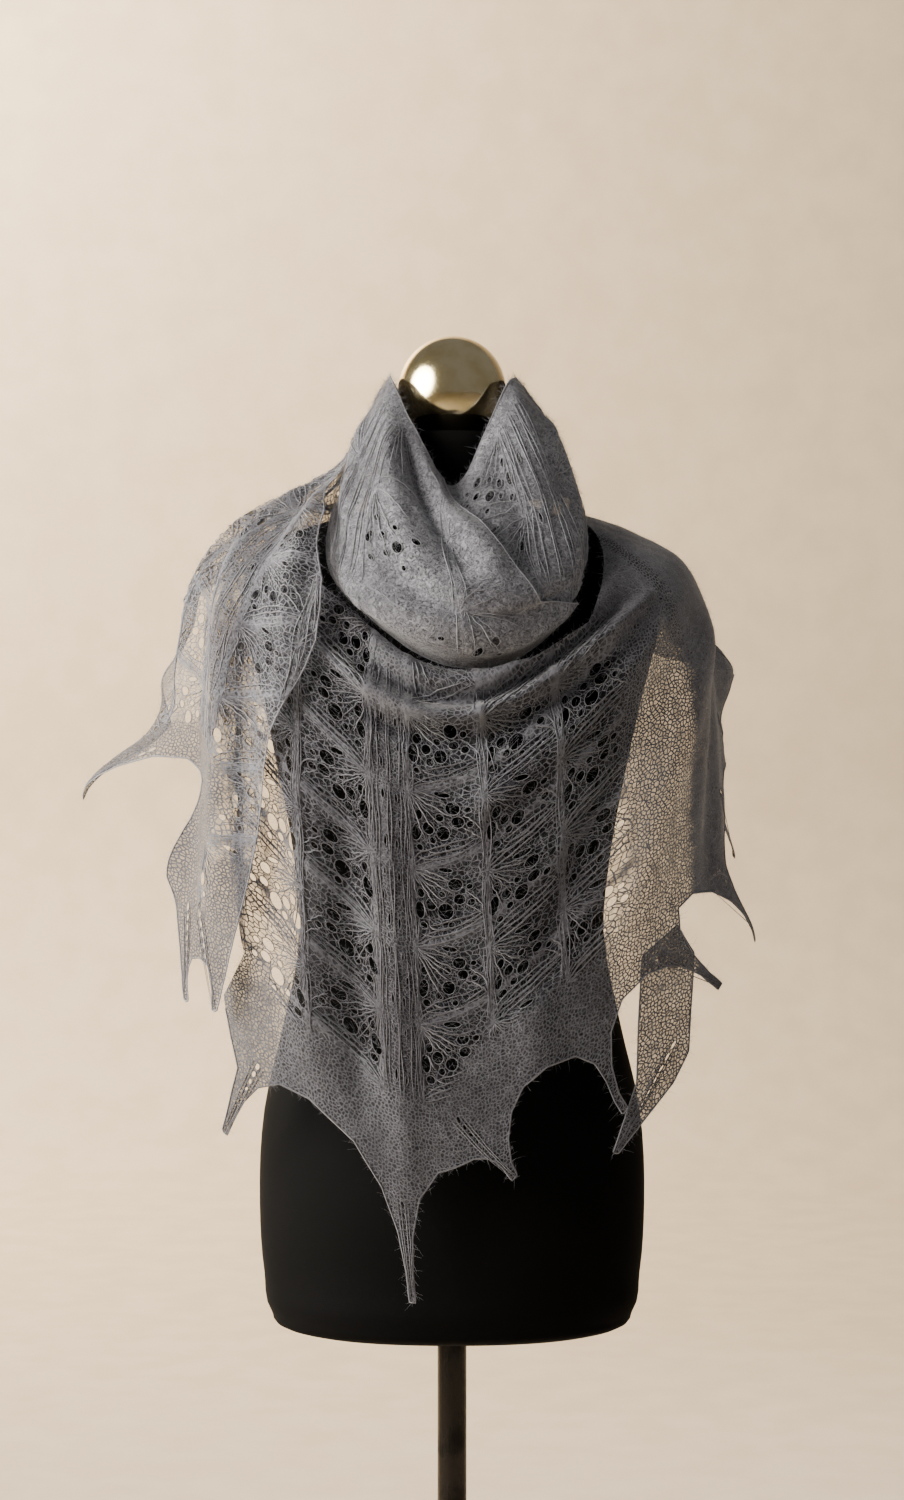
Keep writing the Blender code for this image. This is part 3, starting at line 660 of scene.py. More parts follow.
def to_repeats(flat, lace, to_across):
    """Each flat point's side of the centre rib, and its place in repeats away from it and down."""
    start, end = ((to_across(angle), run * MM) for angle, run in (lace.start, lace.end))
    lean = (end[0] - start[0]) / (end[1] - start[1])
    aside = flat[..., 0] - start[0] - lean * (flat[..., 1] - start[1])
    side = np.where(aside < 0, -1, 1)
    return side, (np.abs(aside) - RIB_HALF) / REPEAT_ACROSS, (flat[..., 1] - lace.first * MM) / REPEAT_DOWN


def from_repeats(side, across, down, lace, to_across):
    start, end = ((to_across(angle), run * MM) for angle, run in (lace.start, lace.end))
    lean = (end[0] - start[0]) / (end[1] - start[1])
    run = lace.first * MM + down * REPEAT_DOWN
    aside = side * (RIB_HALF + across * REPEAT_ACROSS)
    return np.column_stack([start[0] + lean * (run - start[1]) + aside, run])


def repeats_in(outline, lace, to_across):
    """The apexes of every repeat that touches the outline's box: (side, across, down) each."""
    low, high = outline.min(0), outline.max(0)
    found = []
    for side in (-1, 1):
        for i in range(lace.columns):
            for j in range(-10, 13):
                middle = from_repeats(side, np.array([i + 0.4]), np.array([j + 0.4]), lace, to_across)[0]
                if (middle > low - REPEAT_DOWN).all() and (middle < high + REPEAT_DOWN).all():
                    found.append((side, i, j))
    return found


def density(flat, lace, to_across, lace_share):
    """How closely knitted each point is, 0 to 1: the ribs and the bands between leaves are dense."""
    side, across, down = to_repeats(flat, lace, to_across)
    rib = 0.75 * np.exp(-(((across - np.round(across)) / 0.05) ** 2))
    spine = 0.3 * np.exp(-(((across + 0.26) / 0.22) ** 4))
    slant = down + SLANT * np.clip(across, 0, 20)
    band = 0.6 * np.exp(-(((slant - np.round(slant)) / 0.075) ** 2))
    leaf = np.maximum(np.maximum(rib * (across > -0.5), band * (across > -0.05)), spine)
    return leaf * lace_share + 0.26 * (1 - lace_share)


def fan_measure(flat, lace, to_across, in_lace):
    """Where the net's stitches lie: plain rows and columns, or fanned round the apexes in the lace."""
    side, across, down = to_repeats(flat, lace, to_across)
    # One apex serves a whole triangle of the net, so its stitches stay together
    middle_across, middle_down = across.mean(1), down.mean(1)
    column = np.floor(middle_across)
    inside_leaf = (in_lace > 0.5) & (middle_across > 0)
    row = np.floor(middle_down + SLANT * (middle_across - column))
    right = (across - column[:, None]) * REPEAT_ACROSS
    below = (down - row[:, None]) * REPEAT_DOWN
    away = np.hypot(right, below)
    turn = np.arctan2(below, right)
    fanned = np.stack([turn * FAN_RADIUS + column[:, None], away * 0.55 + row[:, None]], axis=2)
    return np.where(inside_leaf[:, None, None], fanned, flat)


def oval(centre, width, height, turn, count=10):
    angles = np.linspace(0, 2 * math.pi, count, endpoint=False)
    shape = np.column_stack([np.cos(angles) * width / 2, np.sin(angles) * height / 2])
    cos, sin = math.cos(turn), math.sin(turn)
    return centre + shape @ np.array([[cos, sin], [-sin, cos]])


def away_from(points, line):
    """How far each flat point is from the nearest point of a finely divided line."""
    parts = np.array_split(points, len(points) // 1500 + 1)
    return np.concatenate([np.linalg.norm(part[:, None] - line, axis=2).min(1) for part in parts])


def in_parts(test, points, outline):
    """The same test of many points against an outline, a part of them at a time."""
    return np.concatenate([test(part, outline) for part in np.array_split(points, len(points) // 2000 + 1)])


def in_patch(flat, patch, to_across):
    """1 inside a patch and 0 outside it, with a soft change over its border."""
    across = np.minimum(flat[:, 0] - to_across(patch.left), to_across(patch.right) - flat[:, 0])
    down = np.minimum(flat[:, 1] - patch.top * MM, patch.bottom * MM - flat[:, 1])
    share = np.clip(np.minimum(across, down) / (12 * MM) + 0.5, 0, 1)
    return share * share * (3 - 2 * share)


def lace_gaps(outline, edging, lace, to_across, plain, patches, seed, most=1.0):
    """The gaps of the lace as flat ovals, kept clear of the outline and of each other."""
    rng = random.Random(seed)
    found = []
    for side, i, j in repeats_in(outline, lace, to_across):
        for gap in GAPS:
            if gap.across < 0 and i > 0:
                continue
            across, down = i + gap.across, j + gap.down
            centre = from_repeats(side, np.array([across]), np.array([down]), lace, to_across)[0]
            centre += [rng.uniform(-0.9, 0.9) * MM, rng.uniform(-0.9, 0.9) * MM]
            size = rng.uniform(0.85, 1.15) * (most if gap.across > 0 else 1.0)
            turn = side * rng.uniform(-0.1, 0.35) if gap.across > 0 else rng.uniform(-0.06, 0.06)
            found.append(oval(centre, gap.width * MM * size, gap.height * MM * size, turn))
    middles = np.array([gap.mean(0) for gap in found])
    fine = in_parts(inside, middles, outline) & (in_parts(distance_to, middles, outline) > 8 * MM)
    fine &= away_from(middles, edging) > plain
    for patch in patches:
        if patch.shut:
            fine &= in_patch(middles, patch, to_across) < 0.5
    kept = []
    centres = []
    for gap, middle in zip([g for g, ok in zip(found, fine) if ok], middles[fine]):
        if centres:
            near = np.nonzero(np.linalg.norm(np.array(centres) - middle, axis=1) < 18 * MM)[0]
            apart = [np.linalg.norm(kept[k][:, None] - gap, axis=2).min() for k in near]
            covered = [inside(gap, kept[k]).any() for k in near]
            if apart and (min(apart) < 0.7 * MM or any(covered)):
                continue
        kept.append(gap)
        centres.append(middle)
    return kept


def spike_gaps(rows, to_across, seed):
    """A line of small gaps down the middle of each point of the edging."""
    rng = random.Random(seed)
    found = []
    for row in rows:
        if not isinstance(row, Tip):
            continue
        tip = np.array([to_across(row.angle), row.run * MM])
        turn = math.radians(row.points)
        axis = np.array([math.sin(turn), math.cos(turn)])
        for step in range(6):
            back = (34 + step * 8.5) * MM
            size = (2.2 + 0.55 * step) * MM
            found.append(oval(tip - axis * back, size * 0.75, size * 1.5, -turn + rng.uniform(-0.2, 0.2), 8))
    return found


# %% [markdown]
# ## Knitting the pieces
# A stretch is one fine sheet with its gaps cut through. Yarn is laid on it as thin round
# strands, and loose hairs stand off it as a halo.

# %% Mesh helpers
def new_piece(name, mesh, finish):
    """A finished piece of the scene, riding on the part."""
    made = bpy.data.objects.new(name, mesh)
    mesh.materials.append(finish)
    bpy.context.scene.collection.objects.link(made)
    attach(made, "root")
    return made


def surface(place, flat, step=0.5 * MM):
    """Places and outward directions of flat points."""
    here = place(flat)
    right = place(flat + [step, 0]) - here
    down = place(flat + [0, step]) - here
    outward = np.cross(down, right)
    return here, outward / np.linalg.norm(outward, axis=1)[:, None]


def resampled(line, step):
    """The same line, with its points an even step apart."""
    lengths = np.concatenate([[0], np.cumsum(np.linalg.norm(np.diff(line, axis=0), axis=1))])
    count = max(2, int(lengths[-1] / step) + 1)
    at = np.linspace(0, lengths[-1], count)
    return np.column_stack([np.interp(at, lengths, line[:, k]) for k in range(line.shape[1])])


class Yarn:
    """Collects strands of yarn on one stretch and turns them into one mesh."""

    def __init__(self, place):
        self.place = place
        self.lines = []

    def lay(self, flat, radius, lift=0.5 * MM, closed=False, taper=False):
        self.lines.append((np.asarray(flat, float), radius, lift, closed, taper))

    def piece(self, name, finish, slot, sides=3):
        flat = np.concatenate([line[0] for line in self.lines])
        spots, outward = surface(self.place, flat)
        verts, faces = [], []
        first = 0
        base = 0
        for line, radius, lift, closed, taper in self.lines:
            count = len(line)
            up = outward[first : first + count]
            core = spots[first : first + count] + up * lift
            first += count
            if closed:
                along = np.roll(core, -1, axis=0) - np.roll(core, 1, axis=0)
            else:
                along = np.gradient(core, axis=0)
            across = np.cross(along, up)
            across /= np.linalg.norm(across, axis=1)[:, None] + 1e-12
            if taper:
                width = radius * np.sin(np.linspace(0.12, math.pi - 0.12, count)) ** 0.5
            else:
                width = np.full(count, radius)
            for k in range(sides):
                turn = 2 * math.pi * k / sides
                verts.append(core + (across * math.cos(turn) + up * math.sin(turn)) * width[:, None])
            rings = count if closed else count - 1
            for k in range(sides):
                for i in range(rings):
                    j = (i + 1) % count
                    m = (k + 1) % sides
                    faces.append(
                        (base + k * count + i, base + k * count + j, base + m * count + j, base + m * count + i)
                    )
            base += sides * count
        mesh = bpy.data.meshes.new(name)
        mesh.from_pydata(np.concatenate(verts).tolist(), [], faces)
        mesh.shade_smooth()
        return new_piece(name, mesh, finish)


def net(name, outline, edging, place, gaps, spacing, lace, to_across, plain, patches, finish):
    """The stretch's sheet of fine net: one layer, with its gaps cut through."""
    outline = with_steps(outline, spacing)
    low, high = outline.min(0), outline.max(0)
    row_step = spacing * math.sqrt(3) / 2
    wanted = []
    for row, down in enumerate(np.arange(low[1], high[1], row_step)):
        across = np.arange(low[0] + (spacing / 2 if row % 2 else 0), high[0], spacing)
        wanted.append(np.column_stack([across, np.full(len(across), down)]))
    wanted = np.concatenate(wanted)
    wanted = wanted[in_parts(inside, wanted, outline)]
    wanted = wanted[in_parts(distance_to, wanted, outline) > spacing * 0.4]
    for gap in gaps:
        middle = gap.mean(0)
        near = np.nonzero(np.linalg.norm(wanted - middle, axis=1) < 14 * MM)[0]
        if len(near):
            close = distance_to(wanted[near], gap) < spacing * 0.35
            drop = close | inside(wanted[near], gap)
            wanted = np.delete(wanted, near[drop], axis=0)
    loops = [outline, *gaps]
    edges = []
    first = 0
    for loop in loops:
        count = len(loop)
        edges.extend((first + i, first + (i + 1) % count) for i in range(count))
        first += count
    flat = np.concatenate([*loops, wanted])
    made = delaunay_2d_cdt([Vector(p) for p in flat], edges, [], 0, 1e-7)
    corners = np.array([tuple(v) for v in made[0]])
    faces = np.array(made[2])
    middles = corners[faces].mean(1)
    kept = in_parts(inside, middles, outline)
    for gap in gaps:
        near = np.nonzero(np.linalg.norm(middles - gap.mean(0), axis=1) < 12 * MM)[0]
        kept[near[inside(middles[near], gap)]] = False
    faces = faces[kept][:, ::-1]
    share = lace_share(corners, edging, lace, to_across, plain)
    dense = density(corners, lace, to_across, share)
    for patch in patches:
        dense = dense + patch.added * in_patch(corners, patch, to_across)
    dense = np.clip(dense, 0, 1)
    placed, outward = surface(place, corners)
    placed += outward * ((dense - 0.3) * 2.0 * MM * share)[:, None]
    used = np.unique(faces)
    index = np.full(len(corners), -1)
    index[used] = np.arange(len(used))
    mesh = bpy.data.meshes.new(name)
    mesh.from_pydata(placed[used].tolist(), [], index[faces].tolist())
    layer = mesh.uv_layers.new(name="flat")
    at = np.array([loop.vertex_index for loop in mesh.loops])
    layer.data.foreach_set("uv", corners[used][at].ravel())
    stitches = mesh.uv_layers.new(name="stitches")
    fanned = fan_measure(corners[faces], lace, to_across, share[faces].mean(1))
    stitches.data.foreach_set("uv", fanned.reshape(-1, 2).ravel())
    for mark, values in (("dense", dense), ("plain", 1 - share)):
        mesh.attributes.new(mark, "FLOAT", "POINT").data.foreach_set("value", values[used])
    mesh.shade_smooth()
    return new_piece(name, mesh, finish)


def lace_share(flat, edging, lace, to_across, plain):
    """1 in the leaf lace and 0 in the plain edging, with a soft change between them."""
    share = np.clip((away_from(flat, edging) - plain * 0.85) / (plain * 0.3 + 1e-6), 0, 1)
    share = np.minimum(share, np.clip((lace.columns - to_repeats(flat, lace, to_across)[1]) / 0.2, 0, 1))
    return share * share * (3 - 2 * share)


# %% [markdown]
# ## Materials
# All of them are made of nodes. The mohair net is a fine web of yarn with a thin haze of hairs
# between its strands, which lets light and the dark form show through.

# %% Material helpers
def linear(hex_colour):
    """An sRGB hex colour as linear red, green, blue and alpha."""
    parts = [int(hex_colour[i : i + 2], 16) / 255 for i in (1, 3, 5)]
    return (*[p / 12.92 if p <= 0.04045 else ((p + 0.055) / 1.055) ** 2.4 for p in parts], 1.0)


def add(tree, kind, inputs=None, **settings):
    """Adds a node. inputs holds a value or another node's socket for each named socket."""
    node = tree.nodes.new("ShaderNode" + kind)
    for key, value in settings.items():
        setattr(node, key, value)
    for key, value in (inputs or {}).items():
        if isinstance(value, bpy.types.NodeSocket):
            tree.links.new(value, node.inputs[key])
        else:
            node.inputs[key].default_value = value
    return node


def new_material(name, **constants):
    made = bpy.data.materials.new(name)
    made.use_nodes = True
    shader = made.node_tree.nodes["Principled BSDF"]
    for key, value in constants.items():
        shader.inputs[key.replace("_", " ")].default_value = value
    return made, made.node_tree, shader


def blend_colours(tree, share, first, second):
    mix = add(tree, "Mix", data_type="RGBA")
    tree.links.new(share, mix.inputs["Factor"])
    for socket, colour in ((6, first), (7, second)):
        if isinstance(colour, str):
            mix.inputs[socket].default_value = linear(colour)
        else:
            tree.links.new(colour, mix.inputs[socket])
    return mix.outputs[2]


def ramp(tree, value, low, high, to_low=0.0, to_high=1.0):
    """A value carried smoothly from low..high to to_low..to_high."""
    node = add(tree, "MapRange", {"Value": value}, interpolation_type="SMOOTHSTEP")
    for key, number in (("From Min", low), ("From Max", high), ("To Min", to_low), ("To Max", to_high)):
        node.inputs[key].default_value = number
    return node.outputs[0]


def maths(tree, operation, a, b):
    node = add(tree, "Math", operation=operation)
    for socket, value in ((0, a), (1, b)):
        if isinstance(value, bpy.types.NodeSocket):
            tree.links.new(value, node.inputs[socket])
        else:
            node.inputs[socket].default_value = value
    return node.outputs[0]


# %% The mohair
STITCH = 3.1 * MM
PATCH = 70 * MM


def mohair_tone(tree, spots, pale, deep):
    """Yarn colour, drifting a little over the shawl as hand-dyed yarn does."""
    drift = add(tree, "TexNoise", {"Vector": spots, "Scale": 1 / PATCH, "Detail": 3.0})
    fine = add(tree, "TexNoise", {"Vector": spots, "Scale": 1 / (5 * MM), "Detail": 2.0})
    share = ramp(tree, drift.outputs[0], 0.35, 0.65, 0, 0.55)
    share = maths(tree, "ADD", share, ramp(tree, fine.outputs[0], 0.3, 0.7, 0, 0.45))
    return blend_colours(tree, share, pale, deep)


def mohair_net(name, haze, open_share, shade, pale, deep, felt=0.0, painted_edging_shade=0.0):
    """The net between the strands. haze is how much the hairs cover where no strand runs, and
    felt how far the web is lost in matted hairs; the last argument is how much darker the plain
    edging is painted towards the shade colour, a painted shade."""
    made, tree, shader = new_material(name, Roughness=0.95, Sheen_Weight=0.35, Sheen_Roughness=0.5)
    spots = add(tree, "TexCoord").outputs["Object"]
    flat = add(tree, "UVMap", uv_map="flat").outputs[0]
    stitches = add(tree, "UVMap", uv_map="stitches").outputs[0]
    wobble = add(tree, "TexNoise", {"Vector": flat, "Scale": 1 / (4 * MM), "Detail": 1.0})
    shift = add(tree, "VectorMath", {0: wobble.outputs["Color"], 1: (0.5, 0.5, 0.5)}, operation="SUBTRACT")
    shift = add(tree, "VectorMath", {0: shift.outputs[0], "Scale": 1.5 * MM}, operation="SCALE")
    warped = add(tree, "VectorMath", {0: stitches, 1: shift.outputs[0]}, operation="ADD").outputs[0]
    cells = add(
        tree,
        "TexVoronoi",
        {"Vector": warped, "Scale": 1 / STITCH, "Randomness": 0.95},
        voronoi_dimensions="2D",
        feature="DISTANCE_TO_EDGE",
    )
    dense = add(tree, "Attribute", attribute_name="dense").outputs["Fac"]
    plain = add(tree, "Attribute", attribute_name="plain").outputs["Fac"]
    width = maths(tree, "ADD", ramp(tree, dense, 0.0, 1.0, 0.08, 0.20), maths(tree, "MULTIPLY", plain, 0.05))
    edge = maths(tree, "SUBTRACT", cells.outputs["Distance"], width)
    strand = ramp(tree, edge, -0.04, 0.08, 1.0, 0.0)
    clouds = add(tree, "TexNoise", {"Vector": flat, "Scale": 1 / (9 * MM), "Detail": 2.0})
    hairs = ramp(tree, clouds.outputs[0], 0.3, 0.7, haze * 0.5, haze * 1.4)
    # Long soft streaks down the cloth, where the loose knitting is drawn together
    drawn_out = add(tree, "Mapping", {"Vector": flat, "Scale": (1, 0.16, 1)})
    streaks = add(tree, "TexNoise", {"Vector": drawn_out.outputs[0], "Scale": 1 / (13 * MM), "Detail": 3.0})
    drawn = ramp(tree, streaks.outputs[0], 0.42, 0.72, 0.0, 0.32)
    hairs = maths(tree, "ADD", hairs, maths(tree, "MULTIPLY", drawn, ramp(tree, plain, 0.0, 1.0, 1.0, 0.35)))
    hairs = maths(tree, "ADD", hairs, maths(tree, "MULTIPLY", dense, open_share))
    cover = maths(tree, "MAXIMUM", strand, hairs)
    cover = maths(tree, "MAXIMUM", cover, felt * 1.5)
    cover = maths(tree, "MINIMUM", cover, 1.0)
    tree.links.new(cover, shader.inputs["Alpha"])
    # Matted hairs lie in wisps of every direction, pale where they are thick. Where neither wisps nor strands lie,
    # the net takes the shade colour: a painted shade in the gaps between strands
    wisps = add(tree, "TexNoise", {"Vector": spots, "Scale": 1 / (4.5 * MM), "Detail": 7.0, "Distortion": 2.2})
    matted = ramp(tree, wisps.outputs[0], 0.36, 0.64)
    web = maths(tree, "MAXIMUM", maths(tree, "MULTIPLY", strand, 1.0 - felt), matted)
    tone = mohair_tone(tree, spots, pale, deep)
    colour = blend_colours(tree, web, shade, tone)
    # The plain edging is painted darker towards the shade colour: painted shade
    colour = blend_colours(tree, maths(tree, "MULTIPLY", plain, painted_edging_shade), colour, shade)
    tree.links.new(colour, shader.inputs["Base Color"])
    bump = add(tree, "Bump", {"Height": web, "Strength": 0.55, "Distance": 0.9 * MM})
    tree.links.new(bump.outputs[0], shader.inputs["Normal"])
    return made


def mohair_yarn(name, pale, deep):
    """The opaque yarn of strands, rims and edges, with its twist."""
    made, tree, shader = new_material(name, Roughness=0.92, Sheen_Weight=0.5, Sheen_Roughness=0.45)
    spots = add(tree, "TexCoord").outputs["Object"]
    twist = add(tree, "TexNoise", {"Vector": spots, "Scale": 1 / (1.1 * MM), "Detail": 2.0})
    tone = mohair_tone(tree, spots, pale, deep)
    tree.links.new(tone, shader.inputs["Base Color"])
    bump = add(tree, "Bump", {"Height": twist.outputs[0], "Strength": 0.5, "Distance": 0.4 * MM})
    tree.links.new(bump.outputs[0], shader.inputs["Normal"])
    return made


# The mohair comes in lit and shaded copies of one yarn colour: the copies for the front, back and tail are darker,
# a painted shade, and those for the wing and the cowl paler, painted light on the upper cloth. The cowl's copy also
# covers more, as doubled cloth does.
SHADED_NET = mohair_net("mohair_net", 0.22, 1.0, "#47474E", "#7E8088", "#5E5D66", painted_edging_shade=0.25)
LIT_WING_NET = mohair_net("mohair_net_folded_painted_light_and_shade", 0.20, 0.85, "#4F5058", "#989BA4", "#74747E", 0.1, 0.7)
LIT_COWL_NET = mohair_net("mohair_net_doubled_painted_light", 0.85, 0.5, "#4F5058", "#B4B7C0", "#868690", 0.6)
SHADED_YARN = mohair_yarn("mohair_yarn", "#7F8189", "#67666F")
LIT_YARN = mohair_yarn("mohair_yarn_painted_light", "#A8AAB3", "#888891")
HAIR = mohair_yarn("mohair_hair", "#A3A5AE", "#92929B")
print("materials for the mohair:", SHADED_NET.name, LIT_COWL_NET.name, SHADED_YARN.name, LIT_YARN.name, HAIR.name)

# %% [markdown]
# ## The stretches of the shawl
# Each is knitted in the same way: the net with its gaps, the yarn on it and the halo round it.

# %% Strands of one repeat
# A strand's line in shares of the repeat, from the apex outwards
Strand = namedtuple("Strand", "start middle end")
FAN = [
    Strand((0.02, 0.00), (0.30, -0.10), (0.95, -0.33)),
    Strand((0.02, -0.02), (0.34, -0.20), (0.98, -0.38)),
    Strand((0.01, -0.03), (0.30, -0.26), (1.00, -0.44)),
    Strand((0.02, -0.05), (0.22, -0.31), (0.90, -0.50)),
    Strand((0.03, 0.00), (0.24, -0.02), (0.50, 0.07)),
    Strand((0.03, 0.01), (0.26, 0.04), (0.66, 0.10)),
    Strand((0.03, 0.02), (0.24, 0.09), (0.56, 0.24)),
    Strand((0.03, 0.03), (0.22, 0.14), (0.50, 0.30)),
    Strand((0.03, 0.03), (0.19, 0.17), (0.42, 0.36)),
    Strand((0.02, 0.04), (0.16, 0.20), (0.33, 0.45)),
    Strand((0.02, 0.05), (0.13, 0.24), (0.34, 0.60)),
    Strand((0.02, 0.06), (0.08, 0.27), (0.19, 0.55)),
    Strand((0.01, 0.06), (0.05, 0.30), (0.16, 0.78)),
    Strand((0.00, 0.07), (0.00, 0.32), (0.02, 0.74)),
    Strand((-0.02, 0.08), (-0.05, 0.34), (-0.02, 0.90)),
    Strand((0.20, 0.68), (0.45, 0.70), (0.92, 0.52)),
    Strand((0.10, 0.80), (0.42, 0.78), (0.98, 0.56)),
    Strand((0.62, 0.36), (0.80, 0.44), (0.96, 0.60)),
    Strand((0.70, 0.22), (0.86, 0.34), (0.98, 0.54)),
]


def bend(strand, count):
    a, b, c = (np.array(p, float) for p in strand)
    t = np.linspace(0, 1, count)[:, None]
    handle = 2 * b - (a + c) / 2
    return (1 - t) ** 2 * a + 2 * t * (1 - t) * handle + t**2 * c


def clear_of(line, gaps, middles):
    """True for each point of a strand that crosses no large gap."""
    free = np.ones(len(line), bool)
    for k in np.nonzero(np.linalg.norm(middles - line.mean(0), axis=1) < 45 * MM)[0]:
        free &= ~inside(line, gaps[k])
    return free


def fans(yarn, outline, edging, gaps, lace, to_across, plain, seed, strands):
    """Lays the strands of every repeat, and the upright ribs between repeats."""
    rng = random.Random(seed)
    lines = []
    for side, i, j in repeats_in(outline, lace, to_across):
        for strand in FAN:
            way = bend(strand, 11) + [i, j]
            way += np.array([[rng.uniform(-0.012, 0.012), rng.uniform(-0.012, 0.012)] for _ in way])
            radius = rng.uniform(0.45, 0.85) * (0.5 + 0.5 * strands)
            if rng.random() < strands:
                lines.append((from_repeats(side, way[:, 0], way[:, 1], lace, to_across), radius))
        for shift in (-0.07, -0.03, 0.01, 0.05):
            t = np.linspace(0, 1, 9)
            sway = 0.02 * np.sin(2 * math.pi * (t + rng.random()))
            way = from_repeats(side, i + shift * (1.1 - np.sin(math.pi * t) * 0.2) + sway, j + t, lace, to_across)
            lines.append((way, rng.uniform(0.4, 0.6)))
        if i == 0:
            for shift in (-0.245, -0.115):
                t = np.linspace(0, 1, 9)
                way = from_repeats(side, shift + 0.012 * np.sin(6 * t + rng.random() * 6), j + t, lace, to_across)
                lines.append((way, rng.uniform(0.42, 0.6)))
    every = np.concatenate([line for line, radius in lines])
    fine = in_parts(inside, every, outline) & (in_parts(distance_to, every, outline) > 2 * MM)
    fine &= away_from(every, edging) > plain * 0.92
    large = [gap for gap in gaps if np.ptp(gap[:, 0]) > 5.5 * MM]
    middles = np.array([gap.mean(0) for gap in large]) if large else np.zeros((0, 2))
    first = 0
    for line, radius in lines:
        ok = fine[first : first + len(line)]
        first += len(line)
        if rng.random() < 0.8:
            ok = ok & clear_of(line, large, middles)
        for run in np.split(np.arange(len(line)), np.nonzero(np.diff(ok.astype(int)))[0] + 1):
            if ok[run[0]] and len(run) > 3:
                yarn.lay(line[run], radius * MM, taper=True)


def spikes(yarn, rows, outline, to_across, seed):
    """Strands down each point of the edging, meeting at its tip."""
    rng = random.Random(seed)
    for row in rows:
        if not isinstance(row, Tip):
            continue
        tip = np.array([to_across(row.angle), row.run * MM])
        turn = math.radians(row.points)
        axis = np.array([math.sin(turn), math.cos(turn)])
        aside = np.array([axis[1], -axis[0]])
        for share in (-1, -0.45, 0.45, 1):
            back = np.linspace(78, 1.5, 14)[:, None] * MM
            spread = (1.5 + back / MM * 0.04) * share * MM
            jitter = np.array([[rng.uniform(-0.25, 0.25)] for _ in back]) * MM
            way = tip - axis * back + aside * (spread + jitter)
            way = way[inside(way, outline) & (distance_to(way, outline) > 0.6 * MM)]
            if len(way) > 4:
                yarn.lay(way, 0.5 * MM, taper=True)


def hem(yarn, line, closed):
    """The bound-off edge: one cord along the edging."""
    if closed:
        line = np.vstack([line, line[:1]])
    yarn.lay(resampled(line, 2.4 * MM), 0.75 * MM, lift=0.0)


def halo(name, outline, place, number, seed, reach=9 * MM):
    """Loose hairs of the mohair: thin flat ribbons that rise from the net and curl."""
    rng = np.random.default_rng(seed)
    low, high = outline.min(0), outline.max(0)
    spots = rng.uniform(low, high, (int(number * 2.2), 2))
    spots = spots[np.concatenate([inside(p, outline) for p in np.array_split(spots, 8)])][:number]
    edge = resampled(np.vstack([outline, outline[:1]]), 2.2 * MM)
    roots = np.concatenate([spots, edge + rng.normal(0, 0.7 * MM, edge.shape)])
    count = len(roots)
    here, outward = surface(place, roots)
    heading = rng.uniform(0, 2 * math.pi, count)
    flat_way = np.column_stack([np.cos(heading), np.sin(heading)])
    beyond = place(roots + flat_way * 1 * MM) - here
    along = beyond / (np.linalg.norm(beyond, axis=1)[:, None] + 1e-12)
    curl = rng.normal(0, 0.5, (count, 3))
    length = rng.uniform(0.45, 1.3, count)[:, None] * reach
    length[len(spots) :] *= 0.6
    rise = rng.uniform(-0.25, 0.75, count)[:, None]
    steps = []
    for t in (0, 0.35, 0.7, 1.0):
        steps.append(here + along * length * t + outward * length * rise * t * 0.45 + curl * length * t * t * 0.35)
    wide = np.cross(along, outward + curl * 0.4)
    wide /= np.linalg.norm(wide, axis=1)[:, None] + 1e-12
    verts = []
    for step, width in zip(steps, (0.06, 0.07, 0.05, 0.02)):
        verts.extend([step - wide * width * MM, step + wide * width * MM])
    faces = []
    index = np.arange(count)
    for k in range(3):
        a = 2 * k * count
        quad = np.column_stack([a + index, a + count + index, a + 3 * count + index, a + 2 * count + index])
        faces.extend(quad.tolist())
    mesh = bpy.data.meshes.new(name)
    mesh.from_pydata(np.concatenate(verts).tolist(), [], faces)
    mesh.shade_smooth()
    return new_piece(name, mesh, HAIR)


def between(outline, ends, to_across):
    """The part of a finely divided outline between two of its points, each an (angle, run)."""
    first, last = (np.linalg.norm(outline - [to_across(a), r * MM], axis=1).argmin() for a, r in ends)
    return outline[first : last + 1]


def area_of(outline):
    beyond = np.roll(outline, -1, axis=0)
    return abs((outline[:, 0] * beyond[:, 1] - outline[:, 1] * beyond[:, 0]).sum()) / 2


# %% Unevenness of the hand-knitted cloth
def uneven(flat, height):
    """Small soft dents and puckers, as loose knitting has."""
    x, y = flat[:, 0] / MM, flat[:, 1] / MM
    wide = np.sin(x / 17 + 1.6 * np.sin(y / 31)) * np.sin(y / 21 + 1.3 * np.sin(x / 37))
    small = np.sin(x / 5.6 + 1.9 * np.sin(y / 13)) * np.sin(y / 6.3 + 1.7 * np.sin(x / 11))
    return (0.65 * wide + 0.35 * small) * height


